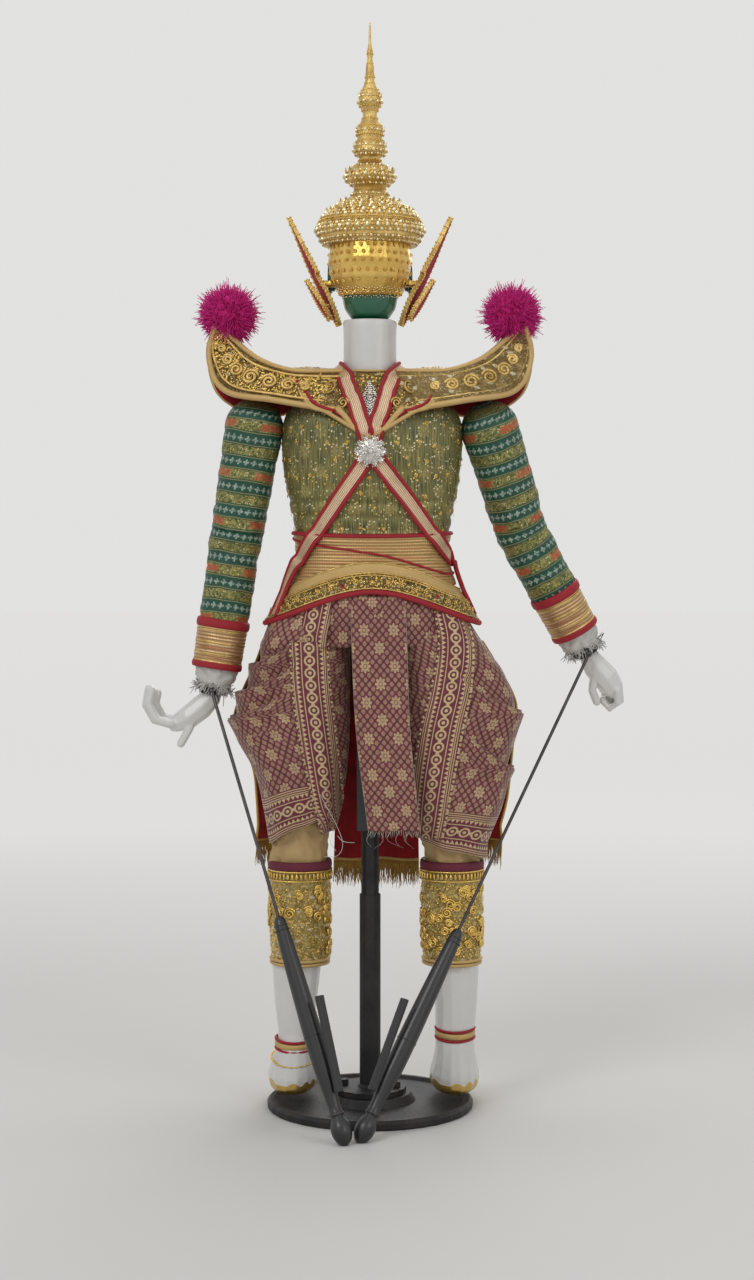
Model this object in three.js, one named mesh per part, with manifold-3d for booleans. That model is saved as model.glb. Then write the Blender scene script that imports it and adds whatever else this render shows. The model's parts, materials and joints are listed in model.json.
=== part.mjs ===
// A rod-worked dance puppet standing on its iron stand.
// Millimetres, +Z up. The puppet faces +Y and its left side is -X.
// The origin is the middle of the base plate's underside.
import * as THREE from "three";
import { mergeVertices } from "three/addons/utils/BufferGeometryUtils.js";
import Module from "manifold-3d";

const wasm = await Module();
wasm.setup();

// Clearances
const seatGap = 0.35;
const ballGap = 0.7;
const slideGap = 0.4;

// Sides of round forms
const sides = { plate: 36, cup: 24, trunk: 24, ball: 16, crown: 16, limb: 14, small: 10, finger: 6 };

// Stand
const plate = { radius: 97, thick: 9, rimWidth: 8, recess: 3, bossRadius: 38, bossRise: 4.6 };
const flange = { radius: 34, thick: 5, filletRadius: 12.5, filletRise: 2.6 };
const standTube = { radius: 9.9, top: 201 };
const innerRod = { radius: 8.5, top: 330 };
const bolt = { count: 2, circle: 25, headRadius: 4.6, headRise: 5, shankRadius: 2.4, depth: 7, firstTurn: -0.2 };

// Trunk: rings of height, half width and half depth, worn over one another in layers
const trunk = {
  offset: 2,
  squareness: 2.3,
  rings: [
    [452, 88, 50],
    [480, 81, 48],
    [517, 70, 44],
    [551, 74, 44],
    [590, 81.5, 48.5],
    [636, 84, 49],
    [655, 77, 43.5],
    [666, 60, 37],
    [674, 38, 31],
  ],
};
const jacketThick = 3;
const strapThick = 1.1;
const strapWidth = 12;
const strapLean = 0.66;
const strapCross = { x: 0, z: 614 };
const waistband = { bottom: 510.5, top: 538, thick: 1.8 };
const belt = { backBottom: 489, sideBottom: 446, sideRise: 20, bend: 62, reach: 112, thick: 3.8 };
const collar = { bottom: 643, halfWidth: 58, thick: 2 };
const medallion = { radius: 15, proud: 5 };
const mainBar = { bottom: 262, top: 600, halfDepth: 11, rings: [[262, 12], [357, 12.5], [480, 17], [600, 17]] };

// Shoulder wings: half outline from the neck out to the tip and back, and their depth along the way
const wing = {
  outline: [
    [27, 672], [27, 689], [75, 690], [104, 701], [130, 724], [141, 730],
    [148, 710], [146, 688], [138, 672], [104, 665], [48, 654],
  ],
  depths: [[18, 45], [80, 40], [112, 31], [132, 20], [149, 9]],
};
const pompom = { x: 132, z: 742, radius: 24.5 };

// Neck and head
const neck = { radius: 24.6, footRadius: 23.6, top: 737 };
const nod = { z: 758, ballRadius: 10, domeRadius: 26, stemRadius: 5.5, tilt: 12 };
const peg = { radius: 8, bottom: 695 };
const skull = { y: 2, z: 792, width: 36.2, depth: 43, height: 42 };
const jaw = { y: 12, z: 769, width: 27, depth: 32, height: 27 };
const nose = { y: 43, z: 776, radius: 7 };
const crown = { wall: 3, faceBack: 8, browZ: 812, bottom: 747, domeBottom: 806, domeTop: 849 };
const domeProfile = [[42, 0], [50, 15], [47, 26], [35, 36]];
const spireProfile = [
  [16.4, 0], [17.2, 4], [14.2, 9], [17.5, 13], [23.4, 20], [20, 27], [11, 34], [9.4, 37], [15, 42], [14.4, 50],
  [11.6, 56], [12.6, 64], [8, 73], [6.5, 79], [9.4, 85], [10.8, 92], [7.6, 101], [4.2, 109], [3.7, 123],
  [2.2, 129], [2.8, 136], [1.5, 142], [0.9, 162],
];
const earFlare = {
  foot: new THREE.Vector3(29, 10, 733),
  tip: new THREE.Vector3(74, 10, 832),
  thick: 3,
  outline: [[0, -3], [14, -11], [34, -13], [50, -6], [56, -10], [78, -5], [111, 3], [84, 9], [58, 13], [30, 11], [8, 5]],
  bracketZ: 772,
  bracketRadius: 3.5,
};

// Arms, both drawn as the puppet stands: joint centres, and the level way in which each arm lifts
const arm = {
  ballRadius: 27,
  shoulderRadius: 25.4,
  elbowRadius: 24,
  elbowBall: 23,
  sleeveRadius: 22.2,
  cuffSeat: 19,
  cuffLength: 43,
  wristRadius: 9,
  toggleBall: 9,
  toggleStem: 4,
  toggleReach: 46,
  lift: 60,
};
const elbowRim = { middle: 21, slant: 32 };
const leftArm = {
  name: "left",
  shoulder: new THREE.Vector3(-108, 0, 638),
  elbow: new THREE.Vector3(-126, 4, 530),
  wrist: new THREE.Vector3(-147, 0, 393),
  rodTip: new THREE.Vector3(-21, -144, 0),
};
const rightArm = {
  name: "right",
  shoulder: new THREE.Vector3(112, 0, 636),
  elbow: new THREE.Vector3(143, 25, 541),
  wrist: new THREE.Vector3(206, 45, 428),
  rodTip: new THREE.Vector3(-10, -135, 0),
};
const wristWrap = { radius: 10, endRadius: 9.8, pegRadius: 5, pegLength: 22, stub: 10, length: 12 };
const palmRoot = { radius: 9.5, drop: 6 };
const rodStrap = { thick: 3, length: 4, tab: 4, reach: 18, drop: 1.6 };
const rodLink = { radius: 3.2 };

// Hands: palm and finger joints, measured from the wrist
const fingerRadius = 4.2;
const leftHand = {
  palm: [[-11, -1, -16, 11.5], [-24, -2, -26, 11], [-36, -2, -32, 8]],
  fingers: [
    [[-38, -9, -31], [-52, -9, -27], [-60, -8, -13], [-57, -7, 1]],
    [[-40, -2, -32], [-55, -2, -28], [-63, -1, -14], [-60, 0, 2]],
    [[-39, 5, -31], [-53, 6, -28], [-61, 7, -14], [-58, 7, 0]],
    [[-36, 11, -29], [-48, 13, -26], [-55, 14, -14], [-53, 14, -3]],
    [[-14, -4, -16], [-22, -7, -36], [-30, -8, -50]],
  ],
};
const rightHand = {
  palm: [[9, 1, -15, 12], [19, 3, -26, 13], [27, 5, -37, 11]],
  fingers: [
    [[30, -4, -38], [31, -1, -50], [24, 5, -56], [17, 9, -48]],
    [[32, 3, -36], [34, 8, -49], [27, 13, -55], [20, 15, -47]],
    [[31, 10, -33], [34, 16, -45], [27, 20, -51], [20, 20, -43]],
    [[27, 16, -29], [30, 22, -39], [24, 25, -45], [18, 24, -38]],
    [[8, -3, -22], [6, -2, -38], [11, 1, -50]],
  ],
};

// Hand rods: turned handle from its pointed end, wire and trigger, along the rod
const handle = {
  length: 212,
  profile: [
    [1.2, 0], [4.6, 3.5], [8, 8], [9.3, 15], [7.6, 22], [5.2, 26], [6, 29], [5.6, 36], [8.4, 70], [8.8, 100],
    [8.2, 140], [7.4, 175], [6, 203], [3.6, 212],
  ],
};
const wireRadius = 1.6;
const trigger = { pivot: 46, length: 86, halfWidth: 4, halfThick: 2.2, spread: 7, standOff: 9.5, lug: 7 };

// Legs, from the hip down: each ring is height, middle x, middle y, half width and half depth
const hip = { x: 55, z: 440, radius: 36 };
const knee = { z: 248, radius: 24 };
const lift = { slant: 15, top: 436 };
const sock = { top: 234, bottom: 137, wide: 29, narrow: 26 };
const leftLeg = {
  name: "left",
  side: -1,
  kneeX: -67,
  thigh: [[440, -55, 0, 34, 34], [400, -58, 0, 31, 31], [300, -64, 0, 26.5, 26.5], [257, -67, 0, 24, 24]],
  trousers: [
    [456, -56, 0, 40, 42], [420, -62, 0, 46, 44], [385, -71, 0, 53, 46], [360, -74, 0, 55, 46],
    [318, -65, 0, 43, 43], [287, -65, 0, 36, 40], [251, -67, 0, 28, 35],
  ],
  shin: [
    [15.5, -73, 11, 19, 35], [20, -73, 18, 23.5, 48], [30, -73, 16, 24, 46], [42, -72, 7, 21, 34],
    [56, -71, 0, 17.5, 24], [70, -70, -1, 16.5, 19], [100, -70, 0, 20, 21], [137, -69, 0, 23.3, 23.3],
    [190, -68, 0, 23, 23], [238, -67, 0, 21, 21],
  ],
};
const rightLeg = {
  name: "right",
  side: 1,
  kneeX: 78,
  thigh: [[440, 55, 0, 34, 34], [400, 60, 0, 31, 31], [300, 73, 0, 26.5, 26.5], [257, 78, 0, 24, 24]],
  trousers: [
    [456, 56, 0, 40, 42], [420, 69, 0, 49, 44], [381, 80, 0, 59, 46], [355, 79, 0, 58, 46],
    [290, 78, 0, 47, 42], [251, 79, 0, 31, 36],
  ],
  shin: [
    [15.5, 80, 11, 19, 35], [20, 80, 18, 23.5, 48], [30, 80, 16, 23.5, 46], [42, 80, 7, 21, 34],
    [56, 80, 0, 18.5, 24], [70, 80, -1, 18.5, 20], [100, 81, 0, 20, 21], [137, 80, 0, 22.5, 23],
    [190, 79, 0, 23, 23], [238, 78, 0, 21, 21],
  ],
};

// Hanging cloth: rings of height, middle x, half width and middle y of a panel
const panelThick = 2.6;
const frontPanel = [[486, 5, 30, 48], [456, 5, 34, 52], [300, 6, 39, 61], [216, 6, 41, 61], [196, 6, 40, 61]];
const tailPanel = [[484, 7, 24, -48], [456, 8, 24, -52], [360, 12, 24, -60], [269, 22, 23, -63]];
const sidePanel = { innerShare: 0.25, back: 6, front: 60, bottom: 226, thick: 2.4, flare: 3.5 };

// Finishes
const finish = (color, roughness, metalness = 0) =>
  new THREE.MeshStandardMaterial({ color, roughness, metalness });
const blackIron = finish(0x17181a, 0.55, 0.6);
const blackLacquer = finish(0x141416, 0.3);
const whiteSkin = finish(0xe4e2dc, 0.4);
const greenSkin = finish(0x0f6a45, 0.35);
const greenBrocade = finish(0x4d5a2c, 0.6);
const greenSleeve = finish(0x1d5a40, 0.7);
const goldLeaf = finish(0xc79a3c, 0.35, 0.8);
const goldCloth = finish(0xb98f3e, 0.55, 0.2);
const redVelvet = finish(0xa3141c, 0.9);
const maroonBrocade = finish(0x6d2f38, 0.7);
const magentaWool = finish(0xb01463, 0.95);
const bareWood = finish(0x9a7448, 0.6);
const whiteLinen = finish(0xd8d4c8, 0.9);

// A geometry as a solid: equal points are merged and flat slivers at poles are left out
function solid(geometry) {
  const bare = new THREE.BufferGeometry();
  bare.setAttribute("position", geometry.attributes.position.clone());
  if (geometry.index) {
    bare.setIndex(geometry.index.clone());
  }
  const merged = mergeVertices(bare, 1e-4);
  const index = merged.index.array;
  const corners = [];
  for (let i = 0; i < index.length; i += 3) {
    const [a, b, c] = [index[i], index[i + 1], index[i + 2]];
    if (a !== b && b !== c && c !== a) {
      corners.push(a, b, c);
    }
  }
  return new wasm.Manifold(new wasm.Mesh({
    numProp: 3,
    vertProperties: new Float32Array(merged.attributes.position.array),
    triVerts: new Uint32Array(corners),
  }));
}

const joinAll = (solids) => solids.reduce((all, next) => all.add(next));
const cutAll = (body, cutters) => cutters.reduce((left, next) => left.subtract(next), body);

// A solid between rings of points that run anticlockwise seen from the far end
function ringSolid(rings) {
  const count = rings[0].length;
  const points = rings.flat();
  const index = [];
  for (let ring = 0; ring + 1 < rings.length; ring++) {
    for (let i = 0; i < count; i++) {
      const a = ring * count + i;
      const b = ring * count + ((i + 1) % count);
      index.push(a, b, b + count, a, b + count, a + count);
    }
  }
  const middles = [rings[0], rings[rings.length - 1]].map((ring) =>
    ring.reduce((sum, p) => sum.add(p), new THREE.Vector3()).divideScalar(count));
  const last = (rings.length - 1) * count;
  points.push(...middles);
  for (let i = 0; i < count; i++) {
    const j = (i + 1) % count;
    index.push(rings.length * count, j, i);
    index.push(rings.length * count + 1, last + i, last + j);
  }
  const geometry = new THREE.BufferGeometry().setFromPoints(points);
  geometry.setIndex(index);
  return solid(geometry);
}

// A level ring: an oval, squarer as the power rises
function oval(z, x, y, halfWidth, halfDepth, segments, power = 2) {
  const ring = [];
  for (let i = 0; i < segments; i++) {
    const turn = (2 * Math.PI * i) / segments;
    const [c, s] = [Math.cos(turn), Math.sin(turn)];
    ring.push(new THREE.Vector3(
      x + halfWidth * Math.sign(c) * Math.abs(c) ** (2 / power),
      y + halfDepth * Math.sign(s) * Math.abs(s) ** (2 / power),
      z,
    ));
  }
  return ring;
}

// A body of oval rings, listed as height, x, y, half width and half depth, grown by a margin
function ovalBody(rings, margin, segments) {
  const rising = [...rings].sort((a, b) => a[0] - b[0]);
  return ringSolid(rising.map(([z, x, y, w, d]) => oval(z, x, y, w + margin, d + margin, segments)));
}

// A turned piece: its profile is listed as radius and distance along the axis, from one end to the other
function turned(profile, segments = sides.limb) {
  const first = profile[0];
  const last = profile[profile.length - 1];
  const closed = [...profile];
  if (first[0] > 0) {
    closed.unshift([0, first[1]]);
  }
  if (last[0] > 0) {
    closed.push([0, last[1]]);
  }
  return new THREE.LatheGeometry(closed.map(([r, h]) => new THREE.Vector2(r, h)), segments);
}

// Stands a turned geometry on a point and points it at another
const up = new THREE.Vector3(0, 1, 0);
function aim(geometry, from, to) {
  const turn = new THREE.Quaternion().setFromUnitVectors(up, to.clone().sub(from).normalize());
  return geometry.applyQuaternion(turn).translate(from.x, from.y, from.z);
}

const pole = (radius, bottom, top, x = 0, y = 0, segments = sides.limb) =>
  solid(aim(turned([[radius, bottom], [radius, top]], segments), new THREE.Vector3(x, y, 0), new THREE.Vector3(x, y, 1)));
const upright = (profile, y = 0, segments = sides.limb) =>
  solid(aim(turned(profile, segments), new THREE.Vector3(0, y, 0), new THREE.Vector3(0, y, 1)));
const ball = (radius, centre, segments = sides.ball) =>
  solid(new THREE.SphereGeometry(radius, segments, segments / 2).translate(centre.x, centre.y, centre.z));
const egg = (w, d, h, y, z, segments = sides.limb) =>
  solid(new THREE.SphereGeometry(1, segments, segments / 2).rotateX(Math.PI / 2).scale(w, d, h).translate(0, y, z));
const block = (x0, x1, y0, y1, z0, z1) =>
  solid(new THREE.BoxGeometry(x1 - x0, y1 - y0, z1 - z0).translate((x0 + x1) / 2, (y0 + y1) / 2, (z0 + z1) / 2));

// An outline in X and Z, drawn out along Y
function plateXZ(outline, y0, y1) {
  const shape = new THREE.Shape(outline.map(([x, z]) => new THREE.Vector2(x, z)));
  const geometry = new THREE.ExtrudeGeometry(shape, { depth: y1 - y0, bevelEnabled: false });
  return solid(geometry.rotateX(Math.PI / 2).translate(0, y1, 0));
}

// An outline in X and Y, drawn out along Z
function plateXY(outline, z0, z1) {
  const shape = new THREE.Shape(outline.map(([x, y]) => new THREE.Vector2(x, y)));
  return solid(new THREE.ExtrudeGeometry(shape, { depth: z1 - z0, bevelEnabled: false }).translate(0, 0, z0));
}

// A limb of round sections through a list of centres with radii, closed by small ends
function limb(points, segments) {
  const centres = points.map((p) => new THREE.Vector3(p[0], p[1], p[2]));
  const ways = centres.map((_, i) =>
    centres[Math.min(i + 1, centres.length - 1)].clone().sub(centres[Math.max(i - 1, 0)]).normalize());
  const rings = centres.map((centre, i) => sectionRing(centre, ways[i], points[i][3], segments));
  const first = sectionRing(centres[0].clone().addScaledVector(ways[0], -points[0][3] * 0.7),
    ways[0], points[0][3] * 0.6, segments);
  const end = centres.length - 1;
  const last = sectionRing(centres[end].clone().addScaledVector(ways[end], points[end][3] * 0.7),
    ways[end], points[end][3] * 0.6, segments);
  return ringSolid([first, ...rings, last]);
}

function sectionRing(centre, way, radius, segments) {
  const level = new THREE.Vector3(0, 1, 0);
  const side = new THREE.Vector3().crossVectors(level, way).normalize();
  const front = new THREE.Vector3().crossVectors(way, side);
  return Array.from({ length: segments }, (_, i) => {
    const turn = (2 * Math.PI * i) / segments;
    return centre.clone().addScaledVector(side, radius * Math.cos(turn)).addScaledVector(front, radius * Math.sin(turn));
  });
}

const group = new THREE.Group();
group.name = "rod_puppet";

// A named piece of a finish, hung in a parent at a place
function piece(parent, name, body, material, place = new THREE.Vector3()) {
  const { vertProperties, triVerts } = body.getMesh();
  const geometry = new THREE.BufferGeometry();
  geometry.setAttribute("position", new THREE.BufferAttribute(new Float32Array(vertProperties), 3));
  geometry.setIndex(new THREE.BufferAttribute(new Uint32Array(triVerts), 1));
  geometry.computeVertexNormals();
  const mesh = new THREE.Mesh(geometry, material);
  mesh.name = name;
  mesh.position.copy(place);
  parent.add(mesh);
  return mesh;
}

function groupAt(place, parent = group) {
  const inner = new THREE.Group();
  inner.position.copy(place);
  parent.add(inner);
  return inner;
}

// Stand
const bossTop = plate.thick + plate.bossRise;
const flangeBottom = bossTop + seatGap;
const flangeTop = flangeBottom + flange.thick;
const boreFloor = flangeTop + 1.5;
const boltRings = Array.from({ length: bolt.count }, (_, i) => {
  const turn = bolt.firstTurn + (2 * Math.PI * i) / bolt.count;
  return [bolt.circle * Math.cos(turn), bolt.circle * Math.sin(turn)];
});

function makeStand() {
  const rimInside = plate.radius - plate.rimWidth;
  const holes = boltRings.map(([x, y]) => pole(bolt.shankRadius + seatGap, bossTop - bolt.depth, flangeTop + 1, x, y, sides.small));
  const disc = upright([
    [plate.radius - 1.5, 0], [plate.radius, 1.5], [plate.radius, plate.thick - 3], [plate.radius - 3, plate.thick],
    [rimInside + 1, plate.thick], [rimInside - 1.5, plate.thick - plate.recess],
    [plate.bossRadius + 5, plate.thick - plate.recess], [plate.bossRadius, bossTop],
  ], 0, sides.plate);
  piece(group, "base_plate", cutAll(disc, holes), blackIron);
  const bore = innerRod.radius + slideGap;
  const riser = upright([
    [flange.radius, flangeBottom], [flange.radius, flangeTop], [flange.filletRadius, flangeTop],
    [standTube.radius, flangeTop + flange.filletRise], [standTube.radius, standTube.top], [bore, standTube.top],
    [bore, boreFloor],
  ], 0, sides.crown);
  piece(group, "stand_tube", cutAll(riser, holes), blackIron);
  const headBottom = flangeTop + seatGap;
  boltRings.forEach(([x, y], i) => {
    const head = pole(bolt.headRadius, headBottom, headBottom + bolt.headRise, x, y, 6);
    const shank = pole(bolt.shankRadius, bossTop - bolt.depth + seatGap, headBottom + 1, x, y, sides.small);
    piece(group, "flange_bolt_" + (i + 1), head.add(shank), blackIron);
  });
  piece(group, "inner_rod", pole(innerRod.radius, boreFloor + seatGap, innerRod.top), blackIron);
}

// The trunk's outer form, grown by a margin, with its lower end drawn down to cut right through
function trunkForm(margin, drop = 0) {
  const rings = trunk.rings.map(([z, w, d], i) => {
    const rise = i >= trunk.rings.length - 3 ? margin : 0;
    return oval(z + rise, trunk.offset, 0, w + margin, d + margin, sides.trunk, trunk.squareness);
  });
  const [z, w, d] = trunk.rings[0];
  if (drop > 0) {
    rings.unshift(oval(z - drop, trunk.offset, 0, w + margin, d + margin, sides.trunk, trunk.squareness));
  }
  return ringSolid(rings);
}
const trunkLayer = (inner, outer) => trunkForm(outer).subtract(trunkForm(inner, 5));
const trunkTop = trunk.rings[trunk.rings.length - 1][0];
const arms = [leftArm, rightArm];
const legs = [leftLeg, rightLeg];
const wide = 200;

function makeTrunk() {
  const shoulders = arms.map((side) => ball(arm.ballRadius + ballGap, side.shoulder, sides.cup));
  const neckHole = pole(neck.footRadius + seatGap, collar.bottom, neck.top, 0, 0, sides.cup);
  const core = trunkForm(-jacketThick - seatGap);
  const hipCups = legs.map((leg) => ball(hip.radius + ballGap, new THREE.Vector3(leg.side * hip.x, 0, hip.z), sides.cup));
  const barSlot = barForm(seatGap);
  const toggleHoles = arms.map((side) => toggleStem(side, slideGap));
  piece(group, "main_bar", barForm(0).subtract(
    pole(innerRod.radius + slideGap, mainBar.bottom - 1, innerRod.top + seatGap)), blackLacquer);
  piece(group, "torso", cutAll(core, [...shoulders, ...hipCups, barSlot, ...toggleHoles]), bareWood);
  piece(group, "jacket", cutAll(trunkLayer(-jacketThick, 0), [...shoulders, ...hipCups, neckHole, ...toggleHoles]),
    greenBrocade);

  const neckBottom = trunkTop - jacketThick;
  const cup = ball(nod.domeRadius + ballGap, new THREE.Vector3(0, 0, nod.z), sides.cup);
  const neckBody = upright([[neck.footRadius, neckBottom], [neck.footRadius, 690], [neck.radius, neck.top]], 0, sides.cup);
  piece(group, "neck", cutAll(neckBody, [cup, pole(peg.radius + slideGap, peg.bottom, neck.top + 1)]), whiteSkin);

  const layers = [seatGap, seatGap * 2 + strapThick, seatGap * 3 + strapThick * 2];
  const crossings = [1, -1].map((way, i) => {
    const along = new THREE.Vector3(way * strapLean, 0, 1).normalize();
    const across = new THREE.Vector3(along.z, 0, -along.x).multiplyScalar(strapWidth / 2);
    const middle = new THREE.Vector3(strapCross.x, 0, strapCross.z);
    const corners = [[1, 1], [1, -1], [-1, -1], [-1, 1]].map(([a, b]) =>
      middle.clone().addScaledVector(along, a * wide).addScaledVector(across, b));
    const slab = plateXZ(corners.map((p) => [p.x, p.z]), -wide, wide);
    const above = block(-wide, wide, -wide, wide, waistband.top + seatGap, wide * 4);
    return trunkLayer(layers[i], layers[i] + strapThick).intersect(slab).intersect(above).subtract(neckHole);
  });
  piece(group, "strap_left", crossings[0], redVelvet);
  piece(group, "strap_right", crossings[1], redVelvet);

  const band = trunkLayer(seatGap, seatGap + waistband.thick)
    .intersect(block(-wide, wide, -wide, wide, waistband.bottom, waistband.top));
  piece(group, "waistband", band, goldCloth);
  const beltRing = trunkForm(seatGap + belt.thick, 8).subtract(trunkForm(seatGap, 12));
  piece(group, "belt", cutAll(beltRing.intersect(beltSlab(0)), hipCups), goldCloth);

  const collarSkin = trunkLayer(layers[2], layers[2] + collar.thick)
    .intersect(block(-collar.halfWidth, collar.halfWidth, -wide, wide, collar.bottom, wide * 4));
  piece(group, "collar", collarSkin.subtract(neckHole), goldCloth);
  const disc = solid(aim(turned([[medallion.radius, 0], [medallion.radius, wide]], sides.limb),
    new THREE.Vector3(strapCross.x, -wide, strapCross.z), new THREE.Vector3(strapCross.x, 0, strapCross.z)));
  const proudSkin = trunkForm(layers[2] + medallion.proud).subtract(trunkForm(layers[2]));
  piece(group, "medallion", disc.intersect(proudSkin), goldLeaf);

  const beneath = trunkForm(layers[2] + collar.thick + seatGap);
  for (const [name, side, shoulder] of [["left", -1, leftArm.shoulder], ["right", 1, rightArm.shoulder]]) {
    const body = wingForm(side);
    const cut = [beneath, ball(arm.ballRadius + ballGap * 2, shoulder), neckHole];
    piece(group, "wing_" + name, cutAll(body, cut), goldCloth);
    const wool = ball(pompom.radius, new THREE.Vector3(side * pompom.x, 0, pompom.z), sides.small + 2);
    piece(group, "pompom_" + name, cutAll(wool, [wingForm(side, seatGap), body]), magentaWool);
  }
}

// All that is level with the belt, whose lower edge rises to the middle, lowered by a margin
function beltSlab(margin) {
  const middle = belt.sideBottom + belt.sideRise;
  const hem = new THREE.SplineCurve([
    [-belt.reach, belt.sideBottom], [-belt.bend, middle], [trunk.offset, belt.backBottom], [belt.bend, middle],
    [belt.reach, belt.sideBottom],
  ].map(([x, z]) => new THREE.Vector2(x, z - margin)));
  const top = waistband.bottom - seatGap + margin;
  return plateXZ([...hem.getPoints(20).map((p) => [p.x, p.y]), [belt.reach, top], [-belt.reach, top]], -wide, wide);
}

function wingForm(side, rise = 0) {
  const outline = wing.outline.map(([x, z]) => [side * x, z + rise]);
  const plan = [...wing.depths.map(([x, d]) => [side * x, -d]), ...[...wing.depths].reverse().map(([x, d]) => [side * x, d])];
  return plateXZ(outline, -wide, wide).intersect(plateXY(plan, 0, wide * 5));
}

function barForm(margin) {
  return ringSolid(mainBar.rings.map(([z, w], i) => {
    const top = i === mainBar.rings.length - 1 ? margin : 0;
    const h = mainBar.halfDepth + margin;
    return [[-1, -1], [1, -1], [1, 1], [-1, 1]].map(([a, b]) => new THREE.Vector3(a * (w + margin), b * h, z + top));
  }));
}

// Hanging panels follow the trunk where they are tucked in, and hang clear of the legs below
function panelForm(rings) {
  const half = panelThick / 2;
  const rising = [...rings].sort((a, b) => a[0] - b[0]);
  return ringSolid(rising.map(([z, x, w, y]) => [[-1, -1], [1, -1], [1, 1], [-1, 1]].map(([a, b]) =>
    new THREE.Vector3(x + a * w, y + b * half, z))));
}

function makePanels() {
  const worn = trunkForm(seatGap, 0);
  const beltHold = trunkForm(seatGap * 2 + belt.thick, 8).intersect(beltSlab(seatGap));
  piece(group, "front_panel", cutAll(panelForm(frontPanel), [worn, beltHold]), redVelvet);
  piece(group, "tail_panel", cutAll(panelForm(tailPanel), [worn, beltHold]), maroonBrocade);
}

// Head, hung on the nodding ball of the neck peg
function makeHead() {
  const pivot = new THREE.Vector3(0, 0, nod.z);
  const stem = upright([
    [peg.radius, peg.bottom + seatGap], [peg.radius, nod.z - nod.domeRadius - 3],
    [nod.stemRadius, nod.z - nod.domeRadius - 1], [nod.stemRadius, nod.z],
  ]);
  piece(group, "neck_peg", stem.add(ball(nod.ballRadius, pivot)), bareWood);

  const middle = new THREE.Vector3();
  const head = groupAt(pivot);
  const [sy, sz] = [skull.y, skull.z - nod.z];
  const mouthRadius = nod.stemRadius + 1 + nod.domeRadius * Math.tan(THREE.MathUtils.degToRad(nod.tilt + 2));
  const mouth = solid(aim(turned([[nod.stemRadius + 1, 0], [mouthRadius + 1, nod.domeRadius + 6]]),
    middle, new THREE.Vector3(0, 0, -1)));
  const face = joinAll([
    ball(nod.domeRadius, middle),
    egg(skull.width, skull.depth, skull.height, sy, sz, sides.crown),
    egg(jaw.width, jaw.depth, jaw.height, jaw.y, jaw.z - nod.z),
    ball(nose.radius, new THREE.Vector3(0, nose.y, nose.z - nod.z), sides.finger + 2),
  ]);
  piece(head, "head", cutAll(face, [ball(nod.ballRadius + ballGap, middle), mouth]), greenSkin);

  const shellOut = egg(skull.width + crown.wall, skull.depth + crown.wall, skull.height + crown.wall, sy, sz, sides.crown);
  const shellIn = egg(skull.width + seatGap, skull.depth + seatGap, skull.height + seatGap, sy, sz, sides.crown);
  const bracketHeight = earFlare.bracketZ - nod.z;
  const bracketRoot = skull.width - 6;
  const bracketReach = flareX(earFlare.bracketZ) - bracketRoot - seatGap;
  const brackets = [-1, 1].map((side) => solid(aim(
    turned([[earFlare.bracketRadius, 0], [earFlare.bracketRadius, bracketReach]], sides.finger + 2),
    new THREE.Vector3(side * bracketRoot, earFlare.foot.y - 4, bracketHeight),
    new THREE.Vector3(side * wide, earFlare.foot.y - 4, bracketHeight))));
  const bowl = cutAll(shellOut, [
    block(-wide, wide, crown.faceBack, wide, -wide, crown.browZ - nod.z),
    block(-wide, wide, -wide, wide, -wide, crown.bottom - nod.z),
  ]);
  const jawRoom = egg(jaw.width + seatGap, jaw.depth + seatGap, jaw.height + seatGap, jaw.y, jaw.z - nod.z);
  const domeRoom = ball(nod.domeRadius + seatGap, middle);
  piece(head, "crown_bowl", cutAll(joinAll([bowl, ...brackets]), [
    shellIn, jawRoom, domeRoom, flareForm(-1, seatGap), flareForm(1, seatGap),
  ]), goldLeaf);

  const domeBase = crown.domeBottom - nod.z;
  const domeHeight = crown.domeTop - crown.domeBottom;
  const cap = upright([...domeProfile.map(([r, h]) => [r, domeBase + h]), [19, domeBase + domeHeight]], sy, sides.cup);
  const capRoom = egg(skull.width + crown.wall + seatGap, skull.depth + crown.wall + seatGap,
    skull.height + crown.wall + seatGap, sy, sz, sides.crown);
  piece(head, "crown_dome", cap.subtract(capRoom), goldLeaf);
  const spireBase = crown.domeTop + seatGap - nod.z;
  piece(head, "crown_spire", upright(spireProfile.map(([r, h]) => [r, h + spireBase]), sy, sides.small), goldLeaf);
  for (const [name, side] of [["left", -1], ["right", 1]]) {
    piece(head, "ear_flare_" + name, flareForm(side), goldLeaf);
  }
}

// The middle of a flare at a height
function flareX(z) {
  const share = (z - earFlare.foot.z) / (earFlare.tip.z - earFlare.foot.z);
  return earFlare.foot.x + share * (earFlare.tip.x - earFlare.foot.x);
}

function flareForm(side, inset = 0) {
  const shape = new THREE.Shape(earFlare.outline.map(([u, v]) => new THREE.Vector2(u, v)));
  const geometry = new THREE.ExtrudeGeometry(shape, { depth: earFlare.thick, bevelEnabled: false });
  geometry.translate(0, 0, -earFlare.thick / 2);
  const along = earFlare.tip.clone().sub(earFlare.foot).normalize();
  along.x *= side;
  const across = new THREE.Vector3(0, 1, 0);
  const out = new THREE.Vector3().crossVectors(along, across);
  geometry.applyMatrix4(new THREE.Matrix4().makeBasis(along, across, out));
  const { x, y, z } = earFlare.foot;
  return solid(geometry.translate(side * (x - inset), y, z - nod.z));
}

// The level way in which an arm and its rod lift: from the rod's foot out past its pivot
function liftWay(side) {
  return rodPivot(side).sub(side.rodTip).setZ(0).normalize();
}
const liftAxis = (side) => new THREE.Vector3(liftWay(side).y, -liftWay(side).x, 0);

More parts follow.
